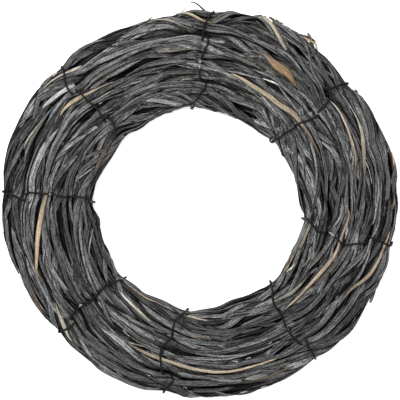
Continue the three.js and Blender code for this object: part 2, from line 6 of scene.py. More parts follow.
import bpy
import numpy as np
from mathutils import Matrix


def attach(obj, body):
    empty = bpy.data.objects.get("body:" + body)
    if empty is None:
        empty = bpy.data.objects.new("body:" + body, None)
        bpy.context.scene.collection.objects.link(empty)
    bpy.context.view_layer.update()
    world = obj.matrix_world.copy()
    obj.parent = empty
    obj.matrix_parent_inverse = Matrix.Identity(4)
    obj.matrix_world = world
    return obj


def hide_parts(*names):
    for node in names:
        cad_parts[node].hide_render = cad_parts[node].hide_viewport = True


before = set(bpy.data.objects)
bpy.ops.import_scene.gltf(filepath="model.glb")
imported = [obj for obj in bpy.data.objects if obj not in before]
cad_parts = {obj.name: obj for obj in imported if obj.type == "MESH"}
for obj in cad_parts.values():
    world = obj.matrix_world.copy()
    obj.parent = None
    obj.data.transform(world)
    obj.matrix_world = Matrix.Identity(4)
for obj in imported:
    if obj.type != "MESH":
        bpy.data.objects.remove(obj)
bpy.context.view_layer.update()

MM = 0.001
DEG = math.pi / 180
TURN = 2 * math.pi

# The ring, with the values that the part's own source has.
RIM_RADIUS = 196 * MM
RIM_STRETCH = 2.4 * MM
HOLE_RADIUS = 102 * MM
HOLE_X = -1.7 * MM
HOLE_Y = -6.1 * MM
RIM_NIP = 2.4 * MM
HOLE_NIP = 2.2 * MM
COURSES = ("outer", "second", "third", "inner")
COURSE_GAP = 0.8 * MM
LEAN = 0.16
LEAN_PIVOT = 6 * MM
HALF_HEIGHT = 13 * MM
CENTRE_HEIGHT = 14.5 * MM
SWELL = 0.35 * MM
SWELLS_PER_LAP = 7
PHASE_PER_COURSE = 2.1
SQUARENESS = 3.4
TWIST = 23 / 14
TIE_REACH = 13 * MM
TIE_SQUEEZE = 0.95 * MM
TIE_BITE = 1.7 * MM
GUIDE_REACH = 75 * DEG
GUIDE_FADE = 14 * DEG

# How far the bound ring's rim and hole depart from that even shape, in millimetres at every ten degrees.
RIM_TRACE = (0, 1.3, -1.9, -3, -5, -4.7, 2.4, 0, 0.1, 0.5, -4.3, -3.8, -4.2, -1.1, -0.2, 0.7, 1.8, 0,
             0, 0, -3.7, -4.1, -4.1, -2.3, -0.6, 0.2, 1.4, 0.6, 2.1, 1.7, 0.2, 1.8, 1.4, -0.8, -0.4, 0.4)
HOLE_TRACE = (1.6, 0.4, 0.5, -0.6, -2.2, -1.7, -2.2, -2.6, -1.1, -1.6, -0.8, 0.2, -1, -2.8, -1.5, 0.4,
              1.6, 3.6, 1.8, -0.4, -1.1, -1.4, -1.7, -2, -1.5, -2, -1.3, 0.6, 0.9, -1.5, -0.2, 0.5,
              1.8, 1.7, 3.4, 3.1)
TRACE_STEP = 10 * DEG

# The ties: the angles where each meets the rim and the hole, and how far its ends stand out, in millimetres.
# One tie ends in an eye.
TIES = (
    dict(rim=-53.4, hole=-48.0, rim_stub=1.8, hole_stub=3.2),
    dict(rim=-11.9, hole=-8.5, rim_stub=3.6, hole_stub=1.5),
    dict(rim=38.7, hole=40.8, rim_stub=2.0, hole_stub=1.2, eye=2.5),
    dict(rim=85.8, hole=95.1, rim_stub=2.0, hole_stub=1.6),
    dict(rim=135.4, hole=137.4, rim_stub=2.6, hole_stub=2.4),
    dict(rim=176.6, hole=179.4, rim_stub=1.8, hole_stub=1.9),
    dict(rim=222.3, hole=221.9, rim_stub=2.2, hole_stub=2.0),
    dict(rim=259.3, hole=263.0, rim_stub=1.9, hole_stub=1.8),
)

# The wires of each tie as they show from above: one arc over each course from the rim inwards, as places
# in millimetres from the ring's middle, to the right and up. Then the knots in them, each with the size of
# its loop, and the spots where the wire is worn bright, each with its reach.
TIE_ARCS = (
    (
        ((114.9, -154.3), (113.1, -150.2), (110.4, -147.8), (108.4, -143.8), (107.3, -138.7)),
        ((100.6, -141.5), (95.1, -135.3), (90.6, -131)),
        ((85.6, -122.5), (83.4, -116.5), (81.2, -109.7)),
        ((79.9, -109.3), (75.1, -103.2), (72.8, -95.3), (72.8, -88.7), (70.6, -82.3), (70.9, -78.8)),
    ),
    (
        ((191.4, -42.9), (189.3, -42.5), (183.8, -40.3), (178.2, -37.5), (172.6, -35.3), (168.2, -32.5)),
        ((165.4, -39.8), (159.3, -40.9), (152.6, -41.4), (146.1, -42.5)),
        ((142.6, -41.4), (139.3, -38.2), (134.8, -33.7), (129.3, -29.2)),
        ((126.4, -29.4), (121.6, -29.4), (117.1, -28.2), (114.3, -24.2), (111.6, -20.3), (107.1, -17),
         (104.4, -15.8)),
    ),
    (
        ((147.9, 119.7), (141.6, 118.2), (136.1, 115.5), (130.4, 114.1), (126.4, 113.7)),
        ((129.3, 111.6), (131.6, 107.1), (129.3, 102.7), (126.1, 98.2), (121.6, 93.8), (118.2, 90.5)),
        ((119.3, 87.1), (114.8, 84.9), (108.2, 82.1), (101.6, 79.9), (97.1, 78.2)),
        ((96.6, 76), (91.6, 72.7), (84.8, 69.8), (80.4, 64.8), (77.1, 63.2), (73.9, 61.7)),
    ),
    (
        ((13.9, 190.2), (11, 188.2), (8.2, 183.2), (6, 179.3), (4.8, 176), (3.8, 169.4), (2.6, 162.7)),
        ((8.8, 160.4), (6.5, 154.9), (3.8, 149.4), (1.5, 143.8), (0.4, 140.4)),
        ((0, 135.7), (-0.2, 130.7), (0.2, 125.7)),
        ((6.4, 119.7), (5.4, 113.7), (-0.1, 108.2), (-3.6, 101.7), (-7.6, 96.2)),
    ),
    (
        ((-138.1, 135.7), (-136.2, 133.2), (-135.2, 127.7), (-134.1, 119.9), (-131.2, 113.2),
         (-126.3, 107.7)),
        ((-120.2, 111), (-116.3, 106.6), (-110.7, 101), (-106.6, 97.7)),
        ((-105.2, 96.6), (-100.7, 92.1), (-97.4, 85.5), (-95.2, 81)),
        ((-89.6, 84.4), (-86.3, 78.8), (-84, 72.1), (-84, 65.5), (-85.2, 62.8)),
    ),
    (
        ((-196.6, 10.8), (-192.9, 9.3), (-186.2, 7.1), (-180.7, 4.8), (-174.6, 1.6)),
        ((-171.2, 9.8), (-162.9, 9.6), (-155.2, 9.1), (-149.6, 8.2)),
        ((-145.2, 8.2), (-139.6, 6.2), (-131.8, 5.1)),
        ((-128.5, 6), (-121.8, 5.8), (-114, 4.8), (-108.5, 2.7), (-106.3, 0.3)),
    ),
    (
        ((-140.1, -129.7), (-135.7, -127.7), (-130.2, -124.3), (-125.2, -120.5)),
        ((-129.6, -116), (-127.9, -113.7), (-123.5, -108.2), (-119, -102.7)),
        ((-115.7, -102.2), (-110.2, -98.7), (-106.8, -96.5), (-103.6, -93.3)),
        ((-101.3, -89.3), (-96.8, -85.5), (-92.4, -82.2), (-87.9, -80.5), (-84, -78.7), (-79, -77.2),
         (-75.4, -76.5)),
    ),
    (
        ((-36, -189.3), (-34, -187), (-30.2, -181.5), (-26.2, -176.5)),
        ((-37.4, -171), (-38.2, -164.2), (-39, -157.5), (-39, -151)),
        ((-38.5, -147.5), (-37.4, -144.2), (-34, -140.3), (-30.7, -136.5), (-27.4, -133.7)),
        ((-27.4, -131.5), (-26.8, -127.5), (-25.7, -122), (-24.6, -117.5), (-21.2, -115.3), (-18.5, -112),
         (-16.2, -108.2), (-13.5, -106.7), (-11.4, -108)),
    ),
)
KNOTS = (
    (89.1, -126.5, 1.9), (142.9, -41.2, 1.5), (112.4, 88.8, 1.5), (0.4, 141.2, 1.1),
    (-106.1, 97.2, 1.4), (-147.9, 8.7, 1.4), (-117.6, -102.3, 1.6), (-37.6, -149.3, 1.3),
)
WORN_SPOTS = (
    (112.1, 88.8, 1.8), (118.2, 89.1, 1.6), (0.4, 141.2, 1.5), (0.8, 135.7, 2.4),
    (132.1, -31.5, 2.8), (89.1, -126.5, 1.6), (-149.1, 8.7, 1.2), (-118.6, -102.3, 1.2),
)

# The lighter strips. A track has places in millimetres from the ring's middle as they show from above, to
# the right and up, each with the strip's width there. The colours run evenly along the track. Dives are how
# far the two ends go down among the other strips: a blunt end hardly does, an end that stands off rises.
LIGHT_STRIPS = (
    dict(name="peach_strip_1", tint="peach",
         colours=((0.393, 0.339, 0.291), (0.347, 0.297, 0.248), (0.189, 0.15, 0.093)),
         track=((-118.2, 137.1, 1.5), (-125.1, 133.2, 3.8), (-132.6, 130.8, 3), (-137.6, 128.2, 2.4),
                (-143.8, 124.6, 2.1), (-150.1, 119.6, 1.9), (-154.5, 115.8, 1.6), (-159.5, 110.8, 1.2))),
    dict(name="peach_strip_2", tint="peach",
         colours=((0.362, 0.27, 0.187), (0.297, 0.236, 0.175), (0.146, 0.12, 0.093)),
         track=((-140.1, 86.4, 0.8), (-135.1, 93.2, 3.2), (-128.8, 99.6, 4.6), (-121.3, 103.9, 5),
                (-116.3, 107.1, 4.2), (-110.1, 109.9, 3.6), (-102.6, 113.7, 2.2), (-95.1, 117.1, 1.8),
                (-87.6, 120.2, 1.4), (-83.6, 121.7, 1))),
    dict(name="peach_strip_3", tint="peach",
         colours=((0.09, 0.074, 0.052), (0.339, 0.264, 0.187), (0.168, 0.114, 0.069)),
         track=((-149.5, 21.3, 1.4), (-152, 13.8, 2.6), (-153.8, 7.7, 3.5), (-155.7, 0.2, 4.8),
                (-157.6, -9.8, 5.6), (-159.5, -21.2, 5.8), (-161.1, -32.3, 5.6), (-162, -43.7, 5),
                (-162.6, -54.8, 4.3), (-163.2, -64.8, 3.3), (-163.5, -69.8, 2.8), (-160.1, -73.7, 2.2),
                (-155.7, -79.8, 0.8))),
    dict(name="peach_strip_4", tint="peach",
         colours=((0.097, 0.086, 0.064), (0.396, 0.325, 0.244), (0.244, 0.198, 0.143)),
         track=((-74.6, -137.8, 1.6), (-67.1, -142.8, 2.5), (-58.2, -147.8, 3.5), (-49.6, -151.7, 4.2),
                (-42.1, -154.7, 4.4), (-33.2, -157.8, 4), (-24.6, -161, 4), (-14.6, -163.8, 3.8),
                (-4.6, -166.3, 3.6), (5.4, -168.2, 3.4), (15.4, -169.2, 3.2), (25.4, -169.2, 3),
                (35.4, -167.8, 2.8), (45.4, -165.7, 2.6), (55.4, -162.8, 2.6), (65.4, -159.7, 2.6),
                (74.2, -156.7, 2.4), (81.1, -153.8, 1.2))),
    dict(name="peach_strip_5", tint="peach",
         colours=((0.109, 0.079, 0.045), (0.276, 0.22, 0.167), (0.276, 0.22, 0.154)),
         track=((146.6, -2.3, 1.3), (148.4, -7.3, 1.5), (149.8, -11.2, 2.3), (148.4, -17.3, 3),
                (145.9, -24.8, 3), (142.8, -32.3, 3), (140.3, -38.7, 2.5), (138.4, -43.7, 3),
                (136.6, -49.2, 4), (132.2, -56.2, 4.5), (125.9, -63.7, 5), (119.8, -71.2, 4.8),
                (113.4, -78, 4), (107.2, -84.8, 3.5), (100.9, -91.7, 3), (94.8, -98, 2.5),
                (88.4, -104.2, 2), (83.4, -109.2, 1.2))),
    dict(name="peach_strip_6", tint="peach",
         colours=((0.251, 0.211, 0.153), (0.287, 0.23, 0.164), (0.043, 0.035, 0.029)),
         track=((29.2, 130.2, 1.5), (35.4, 127.1, 2.5), (42.9, 123.2, 4), (52.9, 116.4, 5.2),
                (62.9, 110.2, 5.4), (72.9, 103.2, 5.4), (81.8, 96.4, 5.4), (90.4, 91.4, 5.4),
                (96.8, 86.4, 5.6), (100.4, 81.4, 4.8), (105.4, 73.8, 3.5), (111.8, 63.8, 3),
                (116.8, 53.8, 2.4), (121.8, 42.7, 1.6))),
    dict(name="tan_strip_1", tint="pale_tan",
         colours=((0.209, 0.183, 0.139), (0.304, 0.277, 0.225), (0.251, 0.232, 0.178)),
         track=((-144, -100.2, 0.8), (-142.4, -105.7, 2), (-140.2, -112.3, 3.5), (-137.9, -118, 4.5),
                (-135.7, -123.5, 4.8), (-134, -127.3, 4), (-131.8, -131.7, 3), (-129.6, -136.2, 2.2),
                (-127.4, -139.5, 1))),
    dict(name="tan_strip_2", tint="tan",
         colours=((0.2, 0.144, 0.096), (0.279, 0.224, 0.164), (0.133, 0.115, 0.073)),
         track=((190.9, -27.9, 1.2), (189.1, -33.7, 2.5), (185.9, -41.2, 3), (182.2, -49.8, 3),
                (178.4, -58.7, 3.2), (173.4, -67.3, 3.8), (167.2, -74.8, 4.4), (159.8, -80.5, 4),
                (152.2, -86.2, 3.2), (145.9, -93.7, 2), (143.4, -96.2, 1))),
    dict(name="tan_strip_3", tint="tan",
         colours=((0.344, 0.305, 0.244), (0.309, 0.244, 0.186), (0.103, 0.078, 0.055)),
         track=((131.3, 102.7, 1.2), (137.1, 94.8, 2.2), (142.1, 87, 2.6), (147.1, 76.2, 2.8),
                (150.6, 66.2, 2.8), (153.4, 57.7, 3), (156.3, 45.6, 2.4), (155.8, 36.2, 1.8),
                (155.8, 24.8, 1))),
    dict(name="tan_strip_4", tint="tan",
         colours=((0.272, 0.284, 0.27), (0.263, 0.23, 0.183), (0.074, 0.065, 0.045)),
         track=((139.8, 114.1, 1), (145.6, 103.4, 1.3), (152.8, 92, 1.6), (157.8, 83.4, 2.2),
                (161.3, 73.3, 3.5), (163.4, 63.3, 5), (164.1, 53.3, 5), (164.4, 43.3, 4), (164.8, 32, 3),
                (164.8, 20.6, 1.4))),
    dict(name="tan_strip_5", tint="gold_tan", dives=(-0.4, 2.0), depth=-0.9,
         colours=((0.255, 0.26, 0.229), (0.302, 0.242, 0.155), (0.102, 0.068, 0.04)),
         track=((-23.8, 188.2, 1.5), (-17.9, 189.8, 2.2), (-12.9, 189.3, 2.7), (-7.9, 187.8, 3.4),
                (-2.9, 184.8, 3.2), (2.1, 182.3, 2.7), (6.2, 181.1, 2.2), (11.2, 180.7, 2),
                (15.4, 179.3, 1.2))),
    dict(name="tan_strip_6", tint="tan",
         colours=((0.225, 0.202, 0.147), (0.314, 0.288, 0.224), (0.21, 0.179, 0.129)),
         track=((-157, 82.7, 1.2), (-162.6, 75.2, 2.1), (-167.6, 68.8, 2.1), (-172.6, 61.3, 1.9),
                (-176.2, 53.8, 1.2))),
    dict(name="pale_strip_1", tint="pale", dives=(2.0, 0.3),
         colours=((0.328, 0.332, 0.327), (0.328, 0.332, 0.314), (0.138, 0.139, 0.137)),
         track=((-158.2, 93.9, 0.8), (-151.2, 99.6, 4.6), (-145.1, 105.2, 4.4), (-137.6, 110.8, 4.6),
                (-133.8, 113.2, 5), (-128.2, 116.4, 5.2), (-125.1, 118.2, 4.6))),
    dict(name="pale_strip_2", tint="pale",
         colours=((0.407, 0.41, 0.396), (0.304, 0.276, 0.223), (0.228, 0.199, 0.151)),
         track=((-80.7, -88, 1), (-76.8, -92.3, 2.6), (-71.2, -98, 3), (-65.7, -103.5, 3.2),
                (-60.2, -108.5, 3.2), (-54.6, -114, 3.2), (-49, -119.5, 3), (-45.2, -123, 1.4))),
    dict(name="pale_strip_3", tint="pale",
         colours=((0.16, 0.154, 0.13), (0.213, 0.201, 0.168), (0.082, 0.084, 0.081)),
         track=((-52.1, 181.8, 1.2), (-44.6, 182.8, 2), (-36.2, 183.2, 2.3), (-30.4, 182.8, 2.6),
                (-26.2, 181.1, 2.6), (-22.1, 178.6, 2.1), (-12.9, 174.8, 1.6), (-2.9, 171.5, 1.2))),
    dict(name="brown_leaf", tint="brown", depth=-0.5,
         colours=((0.128, 0.113, 0.104), (0.205, 0.135, 0.077), (0.172, 0.11, 0.059)),
         track=((47.3, 153.2, 1.6), (55.4, 151.4, 1.8), (62.9, 148.9, 2.4), (67.9, 145.2, 4),
                (72.9, 139.6, 7.6), (77.9, 135.8, 9.8), (82.9, 133.2, 10.2), (87.9, 128.9, 8.8),
                (91.8, 123.9, 6), (95.4, 118.2, 2.6), (98.4, 114.7, 1))),
    dict(name="brown_strip", tint="brown",
         colours=((0.044, 0.038, 0.031), (0.112, 0.089, 0.056), (0.083, 0.07, 0.05)),
         track=((37.9, -179.2, 1.2), (47.9, -178.5, 2), (57.9, -177.2, 2.6), (67.9, -174.2, 2.6),
                (77.9, -169.7, 2.3), (87.9, -166, 2), (96.8, -161.7, 1.4))),
    dict(name="olive_strip_1", tint="olive", dives=(1.5, 0.3),
         colours=((0.226, 0.205, 0.156), (0.205, 0.183, 0.132), (0.15, 0.134, 0.11)),
         track=((111.6, -21.8, 2.2), (108.4, -27.3, 3), (104.8, -35.4, 3.2), (100.9, -43.7, 3.2),
                (99.8, -46.2, 2.4))),
    dict(name="olive_strip_2", tint="olive",
         colours=((0.105, 0.09, 0.063), (0.206, 0.193, 0.157), (0.116, 0.119, 0.115)),
         track=((109.8, -73.7, 1.2), (103.4, -78.7, 2.5), (98.4, -84.2, 3.5), (93.4, -89.2, 4.2),
                (87.2, -93, 4.8), (80.9, -96.2, 4), (77.2, -98.7, 2))),
    dict(name="beige_stray", tint="pale_tan", depth=-1.1, dives=(-0.3, 0.4),
         colours=((0.258, 0.228, 0.176), (0.258, 0.228, 0.176), (0.194, 0.174, 0.139)),
         track=((63.6, 185.2, 3.6), (67.4, 182.2, 4.4), (72.8, 177, 4.6), (77.6, 167.9, 4.6),
                (81.4, 160.7, 4.6), (86.4, 151.7, 4.2))),
)

# Other single strips of the dark bunches, traced in the same way. Most are lighter than the rest, and one grey
# streak on the right is a painted highlight. The last three are dark ones that close a wide gap at the hole's
# lower right and one at the left rim.
ACCENTS = (
    dict(colours=((0.11, 0.116, 0.12), (0.145, 0.151, 0.156), (0.13, 0.136, 0.14), (0.1, 0.1, 0.1)),
         track=((-102.9, -122.2, 2), (-93, -128.8, 4), (-83.9, -134.7, 6), (-71.4, -145.4, 7.5),
                (-60.6, -155.6, 6), (-54.8, -160.4, 2))),
    dict(colours=((0.13, 0.115, 0.095),),
         track=((-104.5, -118.9, 1.2), (-83.9, -131.4, 2.6), (-71.4, -138.8, 2.8), (-51.6, -144.6, 1.2))),
    dict(colours=((0.09, 0.091, 0.093),),
         track=((-88, -89.9, 3), (-76.4, -102.6, 6), (-64.8, -115.6, 4))),
    dict(colours=((0.473, 0.473, 0.454),),
         track=((-76.8, -126.7, 1), (-73.6, -130.7, 1.3), (-70.2, -134.5, 1))),
    dict(colours=((0.255, 0.21, 0.165), (0.315, 0.225, 0.15)),
         track=((-74.6, -77.3, 1.5), (-65.7, -83, 1.8), (-54.6, -90.2, 1.8), (-43.6, -99, 2))),
    dict(colours=((0.524, 0.524, 0.507),),
         track=((9.4, -157.7, 1), (12.9, -158.2, 1.9), (16.4, -158.7, 1))),
    dict(colours=((0.529, 0.529, 0.512),),
         track=((31.4, -158.3, 1), (35.4, -159.2, 2.1), (39.4, -159.7, 1))),
    dict(colours=((0.3, 0.3, 0.27),),
         track=((66.4, -142.8, 1), (70.9, -140.3, 1.2), (75.4, -137.3, 1))),
    dict(colours=((0.3, 0.285, 0.21),),
         track=((46.4, -157.5, 1.2), (48.9, -156.3, 2.4), (51.2, -155, 1.5))),
    dict(colours=((0.225, 0.217, 0.158),),
         track=((112.8, -49.8, 1.2), (109.1, -56.2, 2), (104.9, -61.8, 2), (101.4, -66.7, 1.2))),
    dict(colours=((0.296, 0.296, 0.248),),
         track=((96.4, -59.3, 1), (91.9, -64.8, 2.6), (87.8, -69.7, 3.6))),
    dict(colours=((0.195, 0.15, 0.105),),
         track=((96.4, -43.3, 1.2), (90.4, -52.3, 1.8), (84.4, -63.3, 1.8), (81.4, -68.3, 1))),
    dict(colours=((0.3, 0.27, 0.18),),
         track=((155.6, 112, 1.2), (159.8, 103.4, 2.2), (164.1, 94.8, 1.5))),
    dict(colours=((0.345, 0.247, 0.15),),
         track=((189.8, 54.8, 1), (192.6, 47.7, 1.9), (193.8, 39.7, 2.1), (194.1, 32, 1.2))),
    # A painted highlight: a light grey streak laid as a strip over the dark ones.
    dict(colours=((0.15, 0.15, 0.146), (0.18, 0.18, 0.176), (0.15, 0.15, 0.143)),
         track=((177.1, 32, 1.5), (179.1, 12, 3), (177.1, -5.2, 3.2), (173.4, -22.3, 2.2))),
    dict(colours=((0.143, 0.098, 0.06),),
         track=((194.8, 6.7, 1), (194.4, -0.3, 1.6), (193.4, -6.3, 1))),
    dict(colours=((0.048, 0.042, 0.036), (0.064, 0.053, 0.042), (0.054, 0.046, 0.038)),
         track=((-106.5, 25.6, 2.5), (-102, 36.1, 4.6), (-94.8, 50.1, 5), (-86.6, 64.6, 3))),
    dict(colours=((0.082, 0.069, 0.054),),
         track=((-101.6, 40.1, 1), (-95.6, 51.6, 1.6), (-89.6, 62.1, 1))),
    dict(colours=((0.14, 0.14, 0.136), (0.185, 0.185, 0.18), (0.15, 0.15, 0.146)),
         track=((-139.5, 47.6, 2.5), (-129.5, 56.6, 4.5), (-119.5, 64.6, 5), (-109.5, 71.6, 4.5),
                (-99.5, 78.6, 3))),
    dict(colours=((0.184, 0.115, 0.068),),
         track=((-152, -112.3, 1), (-161.6, -97.8, 1.6), (-170.1, -83, 1))),
    dict(colours=((0.637, 0.637, 0.622),), depth=-0.9,
         track=((-101, 99.1, 1), (-98.1, 101.1, 2), (-95.1, 102.7, 1))),
    dict(colours=((0.285, 0.24, 0.195), (0.27, 0.225, 0.18), (0.21, 0.18, 0.143)),
         track=((-18.6, -111.2, 1.5), (-12.6, -113.3, 3), (-5.2, -115, 3), (3.4, -117, 2.2),
                (10.4, -118.3, 1))),
    dict(colours=((0.195, 0.135, 0.09),),
         track=((-9.6, -131.5, 1), (-1.6, -133.5, 1.7), (7.4, -135.5, 1))),
    dict(colours=((0.463, 0.463, 0.437), (0.505, 0.505, 0.488), (0.286, 0.286, 0.269)),
         track=((62.4, 124.7, 1), (68.4, 122.1, 2.2), (75.4, 119.2, 2.5), (82.4, 115.7, 1.9),
                (90.4, 110.2, 1.8), (96.4, 104.7, 1))),
    dict(colours=((0.315, 0.315, 0.18),), depth=-0.9,
         track=((-16.6, -184.3, 1.5), (-14.6, -185.7, 3), (-12.6, -186.8, 1.5))),
    dict(colours=((0.255, 0.262, 0.217),),
         track=((-18.6, 155.2, 1), (-9.6, 154.7, 1.7), (-1.6, 153.2, 1))),
    dict(colours=((0.247, 0.255, 0.203),),
         track=((-21.6, 122.2, 1), (-13.6, 123.7, 1.9), (-4.6, 124.2, 1))),
    dict(colours=((0.285, 0.285, 0.247),), depth=-0.9,
         track=((-7.6, 112.2, 1), (-5.1, 113.7, 1.5), (-2.6, 115.2, 1))),
    dict(colours=((0.149, 0.149, 0.146), (0.186, 0.184, 0.174)),
         track=((25.4, 131.7, 2), (40.4, 129.2, 3), (54.4, 125.7, 2.4), (66.4, 122.7, 1.4))),
    dict(colours=((0.058, 0.058, 0.056), (0.07, 0.07, 0.067)), depth=0.9,
         track=((80.5, -88.3, 2.5), (88.5, -74.3, 5), (95.5, -60.3, 6), (101.5, -45.3, 5),
                (105.5, -31.3, 2.5))),
    dict(colours=((0.072, 0.072, 0.069), (0.06, 0.06, 0.058)), depth=0.7,
         track=((86.5, -93.3, 2.5), (96.5, -75.3, 5), (103.5, -58.3, 5.5), (108.5, -41.3, 4.5),
                (110.5, -29.3, 2))),
    dict(colours=((0.066, 0.066, 0.064),), depth=0.6,
         track=((-193.5, -2.4, 2), (-193.2, -20.4, 4.5), (-191.4, -38.4, 5), (-187.5, -55.4, 4.5),
                (-181.5, -71.4, 2))),
)

# Strips that lie across the lay.
CROSSING = (
    dict(colours=((0.07, 0.07, 0.068),), depth=-0.6, dives=(-0.5, 2.0),
         track=((94.2, 169.9, 2), (100.3, 166.3, 3), (108.4, 152.6, 3.2), (112.4, 130.7, 3.2),
                (125.5, 104.6, 3), (130.3, 94.6, 1.5))),
    dict(colours=((0.045, 0.045, 0.044),), depth=-0.3,
         track=((90.2, 173.3, 2.4), (97.2, 169, 3.4), (114.6, 137.5, 3.8), (131.5, 116.7, 3.4),
                (137.6, 107.5, 1.6))),
    dict(colours=((0.16, 0.155, 0.14),), depth=-0.9,
         track=((81.8, 167.7, 1.2), (89.4, 162, 1.6), (113.6, 137.8, 1.6), (121, 129.7, 1.1))),
    dict(colours=((0.055, 0.055, 0.054),), depth=-0.5,
         track=((106.8, 160.8, 3), (113.3, 152.5, 4.6), (128.6, 121.6, 5), (133.3, 111.8, 2.4))),
)

# Painted deep shadows: near-black strips laid over the others where a deep gap shows, traced in the same way.
SHADOWS = (
    ((-98, -94, 3.4), (-82.6, -105.4, 3), (-67.3, -113.9, 1)),
    ((-53.1, -123.8, 1), (-40.4, -129.8, 2.2), (-27.4, -133, 2.8)),
    ((-98, -131.3, 1), (-89.2, -142.6, 2.4), (-77.1, -148.7, 1.2)),
    ((-121.6, -88.6, 1), (-113.4, -96.9, 2.4), (-105.3, -100.7, 1)),
)
SHADOW_COLOUR = (0.005, 0.005, 0.005)

# Ends that stand off the rim: the angles of root and tip, then in millimetres how far the tip stands out,
# its height over the ring's middle and the width, and the colour.
RAGGED_ENDS = (
    (52, 57.5, 4.5, 5, 4.4, (0.100, 0.098, 0.088)),
    (61, 54, 5.5, 1, 4.6, (0.060, 0.059, 0.055)),
    (64, 69.5, 3.6, 6, 4.0, (0.120, 0.120, 0.095)),
    (71, 65, 4.2, -3, 4.6, (0.055, 0.055, 0.052)),
    (76, 71.5, 3.2, 3, 3.8, (0.080, 0.078, 0.070)),
    (86, 92.6, 7.4, 8, 2.2, (0.040, 0.040, 0.038)),
    (107, 104.3, 1.6, 6, 1.8, (0.060, 0.058, 0.052)),
    (33, 36, 2.2, 4, 3.6, (0.060, 0.060, 0.058)),
    (59.5, 53.2, 3.4, 9, 2.4, (0.300, 0.230, 0.150)),
    (50.5, 54.6, 4.6, 9, 2.2, (0.280, 0.290, 0.220)),
    (73.5, 70.2, 3.2, 9, 2.6, (0.230, 0.240, 0.170)),
    (64, 67.4, 3.6, 9, 2.4, (0.230, 0.240, 0.170)),
    (97, 93.6, 2.6, 9, 1.6, (0.200, 0.160, 0.110)),
    (-24, -30.4, 0.9, 7, 4.2, (0.090, 0.088, 0.080)),
)

# The dark strips of a course, from the packing over its bed to the fibres on top. A layer's strips lie in
# locks, side by side, that wind the same way. Each layer has its locks per cross-section, strips per lock,
# ranges in millimetres of width, depth under the skin and length, how bright it is, how much the locks stray
# from the lay, and how many of the strips' ends stand off. The packing and the under layer are darker than the
# strips on top: painted shade deep in the course. Painted side light brightens the packing at the course's
# sides, to make up for the shade there.
LAYERS = dict(
    packing=dict(locks=12, lock=1, width=(3.8, 6.8), depth=(2.1, 3.0), length=(140, 300), tone=0.36,
                 stray=0.8, fray=0.0, painted_side_light=1.4),
    under=dict(locks=6, lock=1, width=(2.6, 5.8), depth=(1.3, 2.2), length=(60, 180), tone=0.45,
               stray=2.6, fray=0.0),
    face=dict(locks=9, lock=2, width=(4.6, 8.4), depth=(0.1, 1.6), length=(70, 200), tone=1.12,
              stray=2.2, fray=0.0),
    slim=dict(locks=3, lock=1, width=(1.2, 2.8), depth=(0.1, 1.2), length=(50, 160), tone=1.15,
              stray=2.4, fray=0.03),
    loose=dict(locks=2, lock=1, width=(3.6, 6.2), depth=(-0.4, 0.3), length=(50, 120), tone=1.15,
               stray=3.0, fray=0.05),
    fibre=dict(locks=3, lock=1, width=(0.5, 0.8), depth=(-0.4, 0.2), length=(20, 60), tone=1.2,
               stray=2.6, fray=0.0),
)
# The bed's near-black tone is painted shade at the bottom of the course.
BED = dict(strips=12, width=(8.0, 9.4), depth=(3.4, 4.0), tone=0.05)

# How the strips of a layer and of a lock are scattered. Own values are a strip's, apart from its lock's.
# Depths, end scatter and overlap are in millimetres.
LOCK_SPACING = 4.6 * MM
LOCK_JITTER = 0.12
OWN_DEPTH = 0.25
OWN_TURN = 1.5
OWN_WANDER = 0.09
LOCK_WANDER = (0.03, 0.14)
LOCK_TONE = (0.85, 1.15)
LABEL_SPREAD = (0.1, 0.9)
END_SCATTER = 12
LOCK_OVERLAP = 14
RING_STEP = 6.5 * MM
BED_RING_STEP = 11 * MM
STRIP_THICKNESS = 0.6 * MM

# At the sides of a course the strips lie calmer and no shallower than this, and they spring out at the ties.
SIDE_CALM = 0.35
SIDE_DEPTH = 0.5 * MM
SIDE_SPRING = 1.5 * MM
TIE_PRESS = 0.25 * MM

# The strips that cross from one course to the next. Every third lies on the underside. Lengths, widths and
# depths are in millimetres, slopes in courses per radian, and offsets and margins in courses.
BRIDGES_PER_GROOVE = 60
BRIDGES_PER_UNDERSIDE = 3
BRIDGE_MARGIN = 0.35
BRIDGE_LENGTH = (70, 170)
BRIDGE_WIDTH = (2.0, 6.0)
BRIDGE_SLOPE = (-0.1, 1.5)
BRIDGE_OFFSET = 0.24
BRIDGE_DEPTH = (-0.2, 0.9)
BRIDGE_TIE_PRESS = 0.9 * MM

BUNCH_SEED = 40
BRIDGE_SEED = 90
ACCENT_SEED = 6
LIGHT_STRIP_SEED = 7
WIRE_SEED = 8


def mix(a, b, share):
    return a + (b - a) * share


def smooth(share):
    s = np.clip(share, 0, 1)
    return s * s * (3 - 2 * s)


def wrapped(angle):
    return angle - TURN * np.round(angle / TURN)


def tie_angle(tie, share):
    return mix(tie["rim"], tie["hole"], share) * DEG


def tie_angles(share):
    return np.array([tie_angle(tie, share) for tie in TIES])


def tieness(angle, share, radius):
    """How close a place is to a tie, from 0 to 1 right under the wires."""
    distances = [np.abs(wrapped(angle - tie_angle(tie, share))) * radius for tie in TIES]
    return np.exp(-((np.minimum.reduce(distances) / TIE_REACH) ** 2))


def traced(trace, angle):
    """The departure at an angle, between the two that are listed nearest."""
    steps = np.asarray(angle) / TRACE_STEP
    low = np.floor(steps).astype(int)
    here, after = (np.array(trace)[index % len(trace)] for index in (low, low + 1))
    return mix(here, after, smooth(steps - low)) * MM


# The rim and the hole are worked out once all round, and read off in between.
ROUND = np.linspace(0, TURN, 1441)


def rim_all_round():
    even = RIM_RADIUS + RIM_STRETCH * np.cos(2 * ROUND) - RIM_NIP * tieness(ROUND, 0, RIM_RADIUS)
    return even + traced(RIM_TRACE, ROUND)


